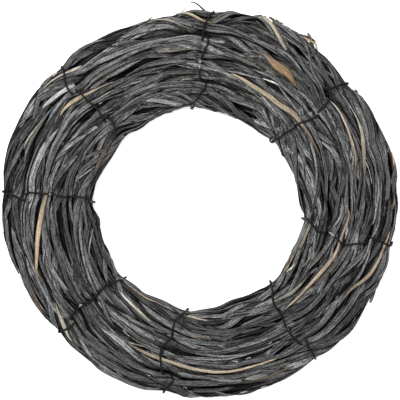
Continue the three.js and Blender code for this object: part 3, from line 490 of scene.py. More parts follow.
def hole_all_round():
    round_hole = HOLE_RADIUS + HOLE_X * np.cos(ROUND) + HOLE_Y * np.sin(ROUND)
    return round_hole + HOLE_NIP * tieness(ROUND, 1, HOLE_RADIUS) + traced(HOLE_TRACE, ROUND)


rim_line = rim_all_round()
hole_line = hole_all_round()


def rim_radius(angle):
    return np.interp(np.mod(angle, TURN), ROUND, rim_line)


def hole_radius(angle):
    return np.interp(np.mod(angle, TURN), ROUND, hole_line)


def share_in(course):
    """How far in from the rim the middle of a course lies, from 0 to 1."""
    return (course + 0.5) / len(COURSES)


def section(course, angle):
    """The middle line and size of a course's cross-section. Between two courses it is in between."""
    pitch = (rim_radius(angle) - hole_radius(angle)) / len(COURSES)
    radius = rim_radius(angle) - (course + 0.5) * pitch
    nip = tieness(angle, share_in(course), radius)
    swell = SWELL * np.sin(SWELLS_PER_LAP * angle + PHASE_PER_COURSE * course)
    return dict(
        pitch=pitch,
        radius=radius,
        nip=nip,
        half_width=pitch / 2 - COURSE_GAP / 2 - TIE_SQUEEZE * nip,
        half_height=HALF_HEIGHT - SWELL + swell - TIE_BITE * nip,
    )


def radius_of(course):
    return float(section(course, 0.0)["radius"])


def nip_near(share, radius):
    """Says for an angle how close a strip on that line is to a tie."""
    def nip(angle):
        return tieness(angle, share, radius)

    return nip


def skin_distance(size, phi):
    """From the middle of a section to its skin: phi is 0 to the rim, 90 degrees up, 180 to the hole."""
    across = np.abs(np.cos(phi)) / size["half_width"]
    up = np.abs(np.sin(phi)) / size["half_height"]
    return (across ** SQUARENESS + up ** SQUARENESS) ** (-1 / SQUARENESS)


def ring_point(radius, angle, height):
    leaning = radius + LEAN * (height - LEAN_PIVOT)
    return np.stack([leaning * np.cos(angle), leaning * np.sin(angle), CENTRE_HEIGHT + height], axis=-1)


# The three places where the second course is pressed flat on the floor.
FOOT_COURSE = 1
FOOT_ANGLES = (10.3 * DEG, 112.7 * DEG, 236.6 * DEG)
FOOT_REACH = 7 * DEG
FOOT_DROP = 2.6 * MM
FOOT_NARROWNESS = 4
FLOOR_CLEARANCE = 0.05 * MM


def foot_drop(course, angle, phi):
    if course != FOOT_COURSE:
        return 0.0
    nearest = np.minimum.reduce([np.abs(wrapped(angle - at)) for at in FOOT_ANGLES])
    return FOOT_DROP * np.exp(-((nearest / FOOT_REACH) ** 2)) * np.clip(-np.sin(phi), 0, 1) ** FOOT_NARROWNESS


def place(course, angle, phi, depth, shift=0.0):
    """A place on a course, this deep below its skin. Shift moves it along the course."""
    size = section(course, angle)
    distance = skin_distance(size, phi) - depth + foot_drop(course, angle, phi)
    radius = size["radius"] + distance * np.cos(phi)
    point = ring_point(radius, angle + shift / radius, distance * np.sin(phi))
    point[..., 2] = np.maximum(point[..., 2], FLOOR_CLEARANCE)
    return point


# Seen from above, a place on the face shows further out than it lies: the face is nearer to the camera than
# the ring's middle is, and it leans outwards. A traced strip is softened over a few degrees.
CAMERA_HEIGHT = 1.35
FACE_RISE = 12 * MM
SEEN_LARGER = 1 + FACE_RISE / (CAMERA_HEIGHT - CENTRE_HEIGHT - FACE_RISE)
TRACK_SOFTENING = np.array([-1.2, -0.6, 0.0, 0.6, 1.2]) * DEG
SEEN_WIDER = 0.4 * MM
NARROWEST = 0.6 * MM
FACE_MARGIN = 0.03
FARTHEST_ASIDE = 0.96


def across_at(angle, seen_radius):
    """How many courses in from the rim a place on the face lies, from the radius at which it shows."""
    radius = seen_radius / SEEN_LARGER - LEAN * (FACE_RISE - LEAN_PIVOT)
    rim = rim_radius(angle)
    across = (rim - radius) / (rim - hole_radius(angle)) * len(COURSES)
    return np.clip(across, FACE_MARGIN, len(COURSES) - FACE_MARGIN)


class TracedStrip:
    """A strip that is laid along the track that it has in the photograph."""

    def __init__(self, track, colours, name=None, tint=None, depth=-0.35, dives=(2.5, 2.5)):
        x, y, width = np.array(track).T * MM
        angle = np.arctan2(y, x)
        angle = angle[0] + wrapped(angle - angle[0])
        order = np.argsort(angle)
        self.name = name
        self.tint = tint
        self.marks = angle[order]
        self.marked_across = across_at(self.marks, np.hypot(x, y)[order])
        self.marked_width = np.maximum(width - SEEN_WIDER, NARROWEST)[order]
        spaced, steps = np.linspace(0, 1, len(colours)), np.linspace(0, 1, len(track))
        tones = [np.interp(steps, spaced, tone) for tone in np.array(colours).T]
        self.marked_colour = np.stack(tones)[:, order]
        self.low, self.high = self.marks[0], self.marks[-1]
        self.depth = depth * MM
        self.dives = np.array(dives)[::1 if angle[0] < angle[-1] else -1] * MM
        self.middle = (self.low + self.high) / 2
        self.course = int(self.across(self.middle))
        self.radius = float(section(self.course, self.middle)["radius"])
        self.label = self.phi(self.middle) + TWIST * self.middle

    def across(self, angle):
        nearby = [np.interp(angle + offset, self.marks, self.marked_across) for offset in TRACK_SOFTENING]
        return sum(nearby) / len(nearby)

    def phi(self, angle):
        """The direction in its own course, for the dark strips beside it."""
        share = np.clip(1 - 2 * (self.across(angle) - self.course), -FARTHEST_ASIDE, FARTHEST_ASIDE)
        size = section(self.course, angle)
        rise = (1 - np.abs(share) ** SQUARENESS) ** (1 / SQUARENESS)
        return np.arctan2(rise * size["half_height"], share * size["half_width"])

    def width(self, angle):
        return np.interp(angle, self.marks, self.marked_width)

    def colour(self, angle):
        return np.stack([np.interp(angle, self.marks, tone) for tone in self.marked_colour], axis=-1)


light_strips = [TracedStrip(**values) for values in LIGHT_STRIPS]


def guide_shift(course, label, angle):
    """The dark strips beside a light strip lean along with it."""
    shift = np.zeros_like(angle)
    for strip in light_strips:
        if strip.course != course:
            continue
        local = strip.middle + wrapped(angle - strip.middle)
        beyond = np.maximum(np.maximum(strip.low - local, local - strip.high), 0)
        hold = 1 - smooth(beyond / GUIDE_FADE)
        free = label - TWIST * angle
        centre = strip.label - TWIST * local
        nearness = np.exp(-((wrapped(free - centre) / GUIDE_REACH) ** 2))
        held = np.clip(local, strip.low, strip.high)
        shift = shift + hold * nearness * wrapped(strip.phi(held) - (strip.label - TWIST * held))
    return shift


def lay_phi(course, label, angle):
    return label - TWIST * angle + guide_shift(course, label, angle)


# The ring's face between two courses: a strip that crosses the groove lies on the crests beside it.
BRIDGE_REACH = 0.15
DOME_MARGIN = 0.02
DOME_REACH = 0.995


def face_height(angle, across):
    """Height of the face over the middle of the ring. Across counts courses from the rim, 0 to 4."""
    def dome(x):
        inside = np.clip(x, DOME_MARGIN, len(COURSES) - DOME_MARGIN)
        offset = 2 * (inside % 1.0) - 1
        return (1 - np.abs(offset * DOME_REACH) ** SQUARENESS) ** (1 / SQUARENESS)

    bridged = np.maximum(np.maximum(dome(across - BRIDGE_REACH), dome(across + BRIDGE_REACH)), dome(across))
    size = section(across - 0.5, angle)
    return size["half_height"] * bridged


def face_place(angle, across, depth, underside=False):
    size = section(across - 0.5, angle)
    height = face_height(angle, across) - depth
    point = ring_point(size["radius"], angle, -height if underside else height)
    point[..., 2] = np.maximum(point[..., 2], FLOOR_CLEARANCE)
    return point


# Strips in mesh form. A strip's section is a thin lens: points across its top, then its underside.
BROAD_TOP = np.array([-1.0, -0.6, 0.0, 0.6, 1.0])
BROAD_UNDER = np.array([0.62, 0.0, -0.62])
SLIM_TOP = np.array([-1.0, 0.0, 1.0])
SLIM_UNDER = np.array([0.45, -0.45])
CREASE_NARROWNESS = 2.2
UNDERSIDE_BOW = 0.4


class StripPile:
    """The strips of one piece, gathered as one mesh."""

    def __init__(self):
        self.points = []
        self.lie = []
        self.colour = []
        self.edge = []
        self.corners = []
        self.sizes = []
        self.smooth = []
        self.count = 0

    def add(self, rings, lie, edge, colour):
        steps, around = rings.shape[:2]
        index = self.count + np.arange(steps * around).reshape(steps, around)
        turned = np.roll(index, -1, axis=1)
        quads = np.stack([index[:-1], turned[:-1], turned[1:], index[1:]], axis=-1).reshape(-1, 4)
        self.corners += [quads.ravel(), index[0][::-1], index[-1]]
        self.sizes += [np.full(len(quads), 4), np.array([around, around])]
        self.smooth += [np.ones(len(quads), bool), np.zeros(2, bool)]
        self.points.append(rings.reshape(-1, 3))
        self.lie.append(lie.reshape(-1, 3))
        self.edge.append(edge.reshape(-1))
        tints = np.broadcast_to(colour, (steps, around, 3)).reshape(-1, 3)
        self.colour.append(np.column_stack([tints, np.ones(steps * around)]))
        self.count += steps * around

    def mesh(self, name):
        mesh = bpy.data.meshes.new(name)
        corners = np.concatenate(self.corners)
        sizes = np.concatenate(self.sizes)
        starts = np.concatenate([[0], np.cumsum(sizes)[:-1]])
        mesh.vertices.add(self.count)
        mesh.vertices.foreach_set("co", np.concatenate(self.points).ravel())
        mesh.loops.add(len(corners))
        mesh.loops.foreach_set("vertex_index", corners)
        mesh.polygons.add(len(sizes))
        mesh.polygons.foreach_set("loop_start", starts)
        mesh.update(calc_edges=True)
        mesh.polygons.foreach_set("use_smooth", np.concatenate(self.smooth))
        mesh.attributes.new("lie", "FLOAT_VECTOR", "POINT")
        mesh.attributes["lie"].data.foreach_set("vector", np.concatenate(self.lie).ravel())
        mesh.attributes.new("edge", "FLOAT", "POINT")
        mesh.attributes["edge"].data.foreach_set("value", np.concatenate(self.edge))
        mesh.attributes.new("strip_colour", "FLOAT_COLOR", "POINT")
        mesh.attributes["strip_colour"].data.foreach_set("color", np.concatenate(self.colour).ravel())
        mesh.validate()
        return mesh


def unit(vectors):
    return vectors / np.linalg.norm(vectors, axis=-1, keepdims=True)


def ribbon(path, across, half_width, roll, arch, crease, thickness, slim):
    """Rings of section points along a path. The first and last path points only give directions."""
    tangent = unit(path[2:] - path[:-2])
    middle = path[1:-1]
    up = unit(np.cross(tangent, across))
    side = np.cross(up, tangent)
    cos, sin = np.cos(roll)[:, None], np.sin(roll)[:, None]
    side, up = side * cos + up * sin, up * cos - side * sin
    top, under = (SLIM_TOP, SLIM_UNDER) if slim else (BROAD_TOP, BROAD_UNDER)
    spread = np.concatenate([top, under])
    fold = np.clip(1 - CREASE_NARROWNESS * np.abs(spread), 0, 1)
    bow = arch[:, None] * (1 - spread ** 2) - crease[:, None] * fold
    drop = np.concatenate([np.zeros(len(top)), thickness * (1 - UNDERSIDE_BOW * under ** 2)])
    out = spread * half_width[:, None]
    lift = bow * half_width[:, None] - drop
    rings = middle[:, None] + side[:, None] * out[..., None] + up[:, None] * lift[..., None]
    return rings, spread, out


def stretches(start, end, share):
    """The bunches that a strip runs through, with the stretch of angle that it has in each."""
    ties = tie_angles(share)
    marks = np.concatenate([ties - TURN, ties, ties + TURN])
    stops = [start, *marks[(marks > start) & (marks < end)], end]
    for low, high in zip(stops[:-1], stops[1:]):
        yield (int(np.searchsorted(marks, (low + high) / 2)) - 1) % len(TIES), low, high


WAVE_PARTS = 3
WAVE_SIZES = (0.3, 0.6)


def waves(draw, rates=(3, 14)):
    """An uneven wave of size about 1, as amplitudes, rates per radian and phases."""
    return [(draw.uniform(*WAVE_SIZES), draw.uniform(*rates), draw.uniform(0, TURN))
            for _ in range(WAVE_PARTS)]


def wave(parts, angle):
    return sum(size * np.sin(rate * angle + phase) for size, rate, phase in parts)


# How strips differ: each draws from these ranges once. Arched up, and creased, are shares of the strips. Weave,
# taper and the depths of ends are in millimetres.
SLIM_BELOW = 2.1 * MM
ROLL_SPREAD = 0.2
ROLL_SIZE = (0.05, 0.26)
ARCH = (0.06, 0.36)
ARCHED_UP = 0.86
HOLLOW = -0.35
CREASED = 0.45
CREASE = (0, 0.18)
DEPTH_RATES = (5, 20)
BED_WEAVE = 0.28
WEAVE = (0.4, 0.95)
TAPER = (16, 40)
TUCKED_DEPTH = (2.6, 4.2)
LOOSE_DEPTH = (-1.4, -0.4)
DIVE_REACH = 30 * MM
UNEVEN_WIDTH = 0.13
POINTED = 0.88
STILL_AT_TIES = 0.65
SLIM_THINNESS = 0.7


class Strip:
    """What one strip looks like along its length: its width, roll, hollow, crease and depth."""

    def __init__(self, draw, width, colour, start, end, radius, whole=False, fray=0.0):
        self.start, self.end, self.radius = start, end, radius
        self.whole = whole
        self.width = width
        self.slim = whole or width < SLIM_BELOW
        self.step = BED_RING_STEP if whole else RING_STEP
        self.colour = np.array(colour)
        self.seed = draw.uniform(0, 1)
        self.roll = draw.normal(0, ROLL_SPREAD)
        self.roll_waves = waves(draw)
        self.roll_size = draw.uniform(*ROLL_SIZE)
        self.width_waves = waves(draw)
        self.arch = draw.uniform(*ARCH) * (1 if draw.uniform() < ARCHED_UP else HOLLOW)
        self.crease = draw.uniform(*CREASE) if draw.uniform() < CREASED else 0.0
        self.depth_waves = waves(draw, DEPTH_RATES)
        self.weave = (BED_WEAVE if whole else draw.uniform(*WEAVE)) * MM
        self.taper = draw.uniform(*TAPER) * MM
        self.dives = [draw.uniform(*(TUCKED_DEPTH if draw.uniform() > fray else LOOSE_DEPTH)) * MM
                      for _ in range(2)]

    def nearness_to_ends(self, angle, reach):
        if self.whole:
            return np.zeros((2, *angle.shape))
        return 1 - smooth(np.stack([angle - self.start, self.end - angle]) * self.radius / reach)

    def depth_change(self, angle, calm=1.0):
        at_start, at_end = self.nearness_to_ends(angle, DIVE_REACH)
        woven = self.weave * calm * wave(self.depth_waves, angle)
        return woven + self.dives[0] * at_start + self.dives[1] * at_end

    def width_along(self, angle):
        uneven = 1 + UNEVEN_WIDTH * wave(self.width_waves, angle)
        return self.width * uneven * (1 - POINTED * self.nearness_to_ends(angle, self.taper).max(axis=0))

    def lay(self, pile, place_on, low, high, nip, width_along=None, colour_along=None):
        """Adds the stretch from low to high, where place_on gives places and directions across."""
        steps = max(3, int(math.ceil((high - low) * self.radius / self.step)) + 1)
        angle = np.linspace(low, high, steps)
        step = angle[1] - angle[0]
        longer = np.concatenate([[low - step], angle, [high + step]])
        path, across = place_on(longer)
        slack = 1 - STILL_AT_TIES * nip(angle)
        half_width = (width_along or self.width_along)(angle) / 2
        roll = (self.roll + self.roll_size * wave(self.roll_waves, angle)) * slack
        arch = np.full(steps, self.arch) * slack
        crease = np.full(steps, self.crease)
        thickness = STRIP_THICKNESS * (SLIM_THINNESS if self.slim else 1.0)
        rings, spread, out = ribbon(path, across[1:-1], half_width, roll, arch, crease, thickness, self.slim)
        along = np.broadcast_to((angle * self.radius)[:, None], out.shape)
        lie = np.stack([along, out, np.full(out.shape, self.seed)], axis=-1)
        edge = np.broadcast_to(spread, out.shape)
        rings[..., 2] = np.maximum(rings[..., 2], FLOOR_CLEARANCE)
        pile.add(rings, lie, edge, self.colour if colour_along is None else colour_along(angle)[:, None])


# Dark strips are pressed down where a lighter one lies over them.
PRESS = 1.3 * MM
PRESS_ROOM = 1.2 * MM
PRESS_FADE = 2.2 * MM
TUCKED_END = 9 * MM
TRACK_SAMPLES = 60


def light_track_points():
    """Places along the lighter strips, apart from their tucked ends, and the strips' half-widths there."""
    tracks = []
    for strip in light_strips:
        tucked = TUCKED_END / strip.radius
        angle = np.linspace(strip.low + tucked, strip.high - tucked, TRACK_SAMPLES)
        points = face_place(angle, strip.across(angle), 0.0)
        tracks.append(np.column_stack([points, strip.width(angle) / 2]))
    return np.concatenate(tracks)


light_points = light_track_points()


def pressed(points):
    gaps = np.linalg.norm(points[:, None] - light_points[None, :, :3], axis=-1) - light_points[None, :, 3]
    return PRESS * (1 - smooth((gaps.min(axis=1) - PRESS_ROOM) / PRESS_FADE))


# How far to either side the direction across a strip is read off.
PHI_ASIDE = 0.12
COURSES_ASIDE = 0.1


def course_places(course, phi_of, depth_of):
    """Places along a course, with the direction across it, for a strip on that track."""
    def place_on(angle):
        phi = phi_of(angle)
        depth = depth_of(angle)
        depth = depth + pressed(place(course, angle, phi, depth))
        middle = place(course, angle, phi, depth)
        outer, inner = (place(course, angle, phi + aside, depth) for aside in (-PHI_ASIDE, PHI_ASIDE))
        return middle, outer - inner

    return place_on


def face_places(across_of, depth_of, underside, press=True):
    """Places on the ring's face, whatever the course, for a strip that crosses from one to the next."""
    def place_on(angle):
        across = across_of(angle)
        depth = depth_of(angle)
        if press and not underside:
            depth = depth + pressed(face_place(angle, across, depth))
        middle = face_place(angle, across, depth, underside)
        outer, inner = (face_place(angle, across + aside, depth, underside)
                        for aside in (-COURSES_ASIDE, COURSES_ASIDE))
        return middle, (inner - outer) if underside else (outer - inner)

    return place_on


# The dark tones: how many strips of each, its brightness, and how brown it is.
DARK_TONES = (
    (0.25, (0.025, 0.048), 0.00),
    (0.50, (0.050, 0.084), 0.00),
    (0.20, (0.084, 0.130), 0.00),
    (0.03, (0.125, 0.160), 0.00),
    (0.02, (0.040, 0.075), 0.08),
)
WARMTH = 0.014
GREEN_OF_BROWN = 0.35


def dark_colour(draw, tone):
    kind = draw.choice(len(DARK_TONES), p=[share for share, _, _ in DARK_TONES])
    _, (low, high), brown = DARK_TONES[kind]
    grey = draw.uniform(low, high) * tone
    warm = draw.normal(0.0, WARMTH) + brown
    return grey * (1 + warm), grey * (1 + GREEN_OF_BROWN * brown), grey * (1 - warm)


class Lock:
    """What the strips of a lock have in common: where it runs, how it winds and how deep it lies."""

    def __init__(self, draw, layer, label, start, end, radius):
        self.layer, self.radius = layer, radius
        self.label = label
        self.start, self.end = start, end
        self.turn = layer["stray"] * draw.uniform(-1, 1)
        self.wander = draw.uniform(*LOCK_WANDER)
        self.waves = waves(draw)
        self.base_depth = draw.uniform(*layer["depth"]) * MM
        self.tone = draw.uniform(*LOCK_TONE)

    def phi_shift(self, angle):
        middle = (self.start + self.end) / 2
        return self.turn * (angle - middle) + self.wander * wave(self.waves, angle)


def lay_bed(piles, course, draw, nip):
    radius, share = radius_of(course), share_in(course)
    first = tie_angles(share)[0]
    for number in range(BED["strips"]):
        width = draw.uniform(*BED["width"]) * MM
        depth = draw.uniform(*BED["depth"]) * MM
        strip = Strip(draw, width, dark_colour(draw, BED["tone"]), first, first + TURN, radius, whole=True)
        label = number / BED["strips"] * TURN

        def phi_of(angle):
            return lay_phi(course, label, angle)

        def depth_of(angle):
            return depth + strip.depth_change(angle)

        place_on = course_places(course, phi_of, depth_of)
        for span, low, high in stretches(first, first + TURN, share):
            strip.lay(piles[course, span], place_on, low, high, nip)


def lay_lock(piles, course, draw, nip, lock):
    layer = lock.layer
    for number in range(layer["lock"]):
        width = draw.uniform(*layer["width"]) * MM
        start, end = (at + draw.uniform(-END_SCATTER, END_SCATTER) * MM / lock.radius
                      for at in (lock.start, lock.end))
        tone = layer["tone"] * lock.tone
        strip = Strip(draw, width, dark_colour(draw, tone), start, end, lock.radius, fray=layer["fray"])
        aside = (number - (layer["lock"] - 1) / 2) * LOCK_SPACING / HALF_HEIGHT
        aside += draw.uniform(-LOCK_JITTER, LOCK_JITTER)
        base_depth = lock.base_depth + draw.uniform(-OWN_DEPTH, OWN_DEPTH) * MM
        own_turn = draw.uniform(-OWN_TURN, OWN_TURN) * layer["stray"]
        own_waves = waves(draw)
        middle = (start + end) / 2

        def phi_of(angle):
            own = own_turn * (angle - middle) + OWN_WANDER * wave(own_waves, angle)
            return lay_phi(course, lock.label + aside, angle) + lock.phi_shift(angle) + own

        def depth_of(angle):
            phi = phi_of(angle)
            calm = mix(SIDE_CALM, 1.0, np.sin(phi) ** 2)
            beside = np.cos(phi) ** 4
            tuck = max(SIDE_DEPTH - base_depth, 0.0) * beside
            outward = SIDE_SPRING * nip(angle) * beside * (np.cos(phi) > 0) * (course == 0)
            return base_depth + tuck + strip.depth_change(angle, calm) + TIE_PRESS * nip(angle) - outward

        # Painted light: at the course's sides the colour is made lighter, to make up for the shade there.
        def colour_along(angle):
            return strip.colour * (1 + layer.get("painted_side_light", 0) * np.cos(phi_of(angle)) ** 4)[:, None]

        place_on = course_places(course, phi_of, depth_of)
        for span, low, high in stretches(start, end, share_in(course)):
            strip.lay(piles[course, span], place_on, low, high, nip, colour_along=colour_along)


def lay_course(piles, course, draw):
    radius = radius_of(course)
    nip = nip_near(share_in(course), radius)
    lay_bed(piles, course, draw, nip)
    for layer in LAYERS.values():
        for number in range(layer["locks"]):
            start = draw.uniform(0, TURN / 4)
            finish = start + TURN
            while start < finish:
                length = draw.uniform(*layer["length"]) * MM / radius
                label = (number + draw.uniform(*LABEL_SPREAD)) / layer["locks"] * TURN
                lay_lock(piles, course, draw, nip, Lock(draw, layer, label, start, start + length, radius))
                start += length - draw.uniform(0, LOCK_OVERLAP) * MM / radius


def lay_bridges(piles, draw):
    for groove in range(1, len(COURSES)):
        radius, share = radius_of(groove - 0.5), groove / len(COURSES)
        nip = nip_near(share, radius)
        for number in range(BRIDGES_PER_GROOVE):
            underside = number % BRIDGES_PER_UNDERSIDE == BRIDGES_PER_UNDERSIDE - 1
            length = draw.uniform(*BRIDGE_LENGTH) * MM / radius
            start = (number + draw.uniform(0, 1)) / BRIDGES_PER_GROOVE * TURN
            end = start + length
            width = draw.uniform(*BRIDGE_WIDTH) * MM
            strip = Strip(draw, width, dark_colour(draw, 1.0), start, end, radius)
            middle = (start + end) / 2
            slope = draw.uniform(*BRIDGE_SLOPE)
            offset = draw.uniform(-BRIDGE_OFFSET, BRIDGE_OFFSET)
            base_depth = draw.uniform(*BRIDGE_DEPTH) * MM

            def across_of(angle):
                across = groove + offset - slope * (angle - middle) * (-1 if underside else 1)
                return np.clip(across, BRIDGE_MARGIN, len(COURSES) - BRIDGE_MARGIN)

            def depth_of(angle):
                return base_depth + strip.depth_change(angle) + BRIDGE_TIE_PRESS * nip(angle)

            place_on = face_places(across_of, depth_of, underside)
            for span, low, high in stretches(start, end, share):
                course = int(np.clip(across_of((low + high) / 2), 0, len(COURSES) - 0.01))
                strip.lay(piles[course, span], place_on, low, high, nip)


def finish_piece(name, pile, material, node):
    piece = bpy.data.objects.new(name, pile.mesh(name))
    bpy.context.scene.collection.objects.link(piece)
    piece.data.materials.append(material)
    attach(piece, "root")
    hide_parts(node)
    return piece


# Lighter strips, and others that follow a track. They lie calmer than the dark ones.
END_REACH = 9 * MM
TRACED_STEP = 3.5 * MM
TRACED_ROLL = 0.06
TRACED_ARCH = (0.14, 0.28)
TRACED_UNEVEN = 0.05
TRACED_WEAVE = 0.12 * MM


def lay_traced_strip(strip, draw, pile_at):
    """Lays a strip along its track. Pile_at says which pile holds the stretch in one bunch."""
    lain = Strip(draw, strip.marked_width.max(), (0, 0, 0), strip.low, strip.high, strip.radius)
    lain.step = TRACED_STEP
    lain.roll = draw.normal(0, TRACED_ROLL)
    lain.roll_size = TRACED_ROLL
    lain.arch = draw.uniform(*TRACED_ARCH)

    def width_along(angle):
        return strip.width(angle) * (1 + TRACED_UNEVEN * wave(lain.width_waves, angle))

    def depth_of(angle):
        wanders = TRACED_WEAVE * wave(lain.depth_waves, angle)
        to_ends = smooth(np.stack([angle - strip.low, strip.high - angle]) * strip.radius / END_REACH)
        return strip.depth + wanders + (strip.dives[:, None] * (1 - to_ends) ** 2).sum(axis=0)

    share = share_in(strip.course)
    place_on = face_places(strip.across, depth_of, False, press=False)
    nip = nip_near(share, strip.radius)
    for pile, low, high in pile_at(strip, share):
        lain.lay(pile, place_on, low, high, nip, width_along, strip.colour)


# The ragged ends start this deep in the outer course.
RAGGED_STEP = 3 * MM
RAGGED_TILT = (-0.3, 0.5)
RAGGED_ROOT = 3.2
RAGGED_NARROWING = 0.45


def lay_ragged_ends(piles, draw):
    for root, tip, reach, height, width, colour in RAGGED_ENDS:
        low, high = min(root, tip) * DEG, max(root, tip) * DEG
        phi = math.atan2(height * MM, HALF_HEIGHT)
        tilt = draw.uniform(*RAGGED_TILT)
        strip = Strip(draw, width * MM, colour, low, high, RIM_RADIUS)
        strip.step = RAGGED_STEP

        def gone(angle):
            return (angle - root * DEG) / ((tip - root) * DEG)

        def place_on(angle):
            depth = mix(RAGGED_ROOT, -reach, smooth(gone(angle))) * MM
            outward = np.stack([np.cos(angle), np.sin(angle), np.full_like(angle, math.tan(tilt))], axis=-1)
            return place(0, angle, phi, depth), outward

        def width_along(angle):
            return strip.width * (1 - RAGGED_NARROWING * np.clip(gone(angle), 0, 1) ** 2)

        span, _, _ = next(stretches(low, high, share_in(0)))
        strip.lay(piles[0, span], place_on, low, high, np.zeros_like, width_along)


# Wires. Two strands per tie take turns over and under the courses.
WIRE_RADIUS = 0.95 * MM
KNOT_WIRE_RADIUS = 0.6 * MM
WIRE_SIDES = 8
WIRE_LIFT = 1.5 * MM
WIRE_PASS = 0.75 * MM
WIRE_DIP = 6 * MM
UNDER_POINTS = 5
WIRE_TIP = 0.8
WIRE_GUIDE = np.array([0.13, 0.21, 0.97])
WIRE_BLACK = np.array((0.006, 0.006, 0.006))
WIRE_WORN = np.array((0.30, 0.295, 0.29))

# The twisted ends: how deep their roots lie at the rim and the hole, and how the twist rises and slants.
END_TWIST_RADIUS = 0.62 * MM
END_TWIST_STEPS = np.linspace(0, 1, 9)
END_TWIST_TURNS = 1.2
END_TWIST_TAPER = 0.3
END_RISE = 0.5
END_SLANT = 0.3
END_ROOT_HEIGHT = 1.5 * MM
RIM_END_ROOT = -1.1 * MM
HOLE_END_ROOT = -1.9 * MM
SHORTEST_STUB = 1.8
HIDDEN_STUB = 1.2 * MM

# The strands beside the rim and the hole. A strand whose last arc ends further than the swing from its tie's
# end runs on inside the strips.
END_SWING = 3 * MM
BESIDE_HEIGHT = 5 * MM
BESIDE_HOLE = -0.6 * MM
INSIDE_HOLE = 4 * MM
INSIDE_SHARES = (0.3, 0.7)
INSIDE_HEIGHTS = (8, 3)
HIDDEN_HEIGHT = -3 * MM

# The eye, and the knots' loops.
EYE_STEPS = np.arange(200, 521, 20.0) * DEG
EYE_HEIGHT = 9 * MM
EYE_CLIMB = 0.1 * MM
KNOT_TURNS = 1.6
KNOT_POINTS_PER_TURN = 12
KNOT_LIFT = 0.5 * MM


def arc_track(arc, tie, share):
    """The angle of each point of an arc, and how many courses in from the rim it lies."""
    x, y = np.array(arc).T * MM
    middle = tie_angle(tie, share)
    angle = middle + wrapped(np.arctan2(y, x) - middle)
    return angle, across_at(angle, np.hypot(x, y))


def side_point(at_rim, angle, out, height):
    """A place beside the rim or the hole, this far out from the strips."""
    radius = rim_radius(angle) + out if at_rim else hole_radius(angle) - out
    return ring_point(radius, angle, height)


def twisted_end(tie, at_rim, angle, side):
    """The strand's part of the tight twist that stands off the rim or the hole, from its root to its tip."""
    length = max(tie["rim_stub"] if at_rim else tie["hole_stub"], SHORTEST_STUB) * MM - HIDDEN_STUB
    root = side_point(at_rim, angle, RIM_END_ROOT if at_rim else HOLE_END_ROOT, END_ROOT_HEIGHT)
    outward = np.array([math.cos(angle), math.sin(angle), 0.0]) * (1 if at_rim else -1)
    up = np.array([0.0, 0.0, 1.0])
    along = np.cross(up, outward)
    turn = END_TWIST_STEPS * END_TWIST_TURNS * TURN + (0 if side > 0 else math.pi)
    straight = root + END_TWIST_STEPS[:, None] * length * (outward + END_RISE * up + END_SLANT * along)
    reach = END_TWIST_RADIUS * (1 - END_TWIST_TAPER * END_TWIST_STEPS)
    return straight + reach[:, None] * (np.cos(turn)[:, None] * along + np.sin(turn)[:, None] * up)


def strand_points(tie, arcs, starts_over):
    side = 1 if starts_over else -1
    tracks = [arc_track(arc, tie, share_in(course)) for course, arc in enumerate(arcs)]
    first, last = tie_angle(tie, 0), tie_angle(tie, 1)
    points = [*twisted_end(tie, True, first, side)[::-1], side_point(True, first, 0.0, BESIDE_HEIGHT * side)]
    for course, (angle, across) in enumerate(tracks):
        over = (course % 2 == 0) == starts_over
        face = 1 if over else -1
        if not over:
            angle, across = (np.linspace(row[0], row[-1], UNDER_POINTS) for row in (angle, across))
        points += list(face_place(angle, across, -WIRE_LIFT, not over))
        if course < len(COURSES) - 1:
            groove_angle = (angle[-1] + tracks[course + 1][0][0]) / 2
            size = section(course, groove_angle)
            radius = size["radius"] - size["pitch"] / 2
            swung = groove_angle + WIRE_PASS / radius * face
            points += [ring_point(radius, swung, dip * face) for dip in (WIRE_DIP, -WIRE_DIP)]
    face = -side
    if "eye" in tie:
        hidden = ring_point(hole_radius(last) + INSIDE_HOLE, last, HIDDEN_HEIGHT)
        return np.array(points + ([hidden] if starts_over else eye_points(tie, last)))
    left_at = tracks[-1][0][-1]
    if abs(left_at - last) * HOLE_RADIUS > END_SWING:
        for share in INSIDE_SHARES:
            at = mix(left_at, last, share)
            height = mix(*INSIDE_HEIGHTS, share) * MM * face
            points.append(ring_point(hole_radius(at) + INSIDE_HOLE, at, height))
    else:
        points.append(side_point(False, last, BESIDE_HOLE, BESIDE_HEIGHT * face))
    return np.array(points + list(twisted_end(tie, False, last, side)))


def eye_points(tie, angle):
    eye = tie["eye"] * MM
    out = eye * (1 + np.cos(EYE_STEPS)) + BESIDE_HOLE
    around = angle + eye * np.sin(EYE_STEPS) / HOLE_RADIUS
    return [side_point(False, at, off, EYE_HEIGHT + EYE_CLIMB * index)
            for index, (at, off) in enumerate(zip(around, out))]


def knot_points(x, y, size):
    """A small loop of wire that lies on the strips around a place."""
    turn = np.linspace(0, KNOT_TURNS * TURN, int(KNOT_TURNS * KNOT_POINTS_PER_TURN))
    loop_x, loop_y = x * MM + size * MM * np.cos(turn), y * MM + size * MM * np.sin(turn)
    angle = np.arctan2(loop_y, loop_x)
    return face_place(angle, across_at(angle, np.hypot(loop_x, loop_y)),
                      -WIRE_LIFT - KNOT_LIFT * np.sin(turn / 2) ** 2)


def rounded(points, per_gap=3):
    """The same path with its bends rounded."""
    padded = np.concatenate([[2 * points[0] - points[1]], points, [2 * points[-1] - points[-2]]])
    shares = np.arange(per_gap) / per_gap
    rows = []
    for a, b, c, d in zip(padded[:-3], padded[1:-2], padded[2:-1], padded[3:]):
        for t in shares:
            rows.append(0.5 * (2 * b + (c - a) * t + (2 * a - 5 * b + 4 * c - d) * t ** 2
                               + (3 * b - a - 3 * c + d) * t ** 3))
    return np.array([*rows, points[-1]])


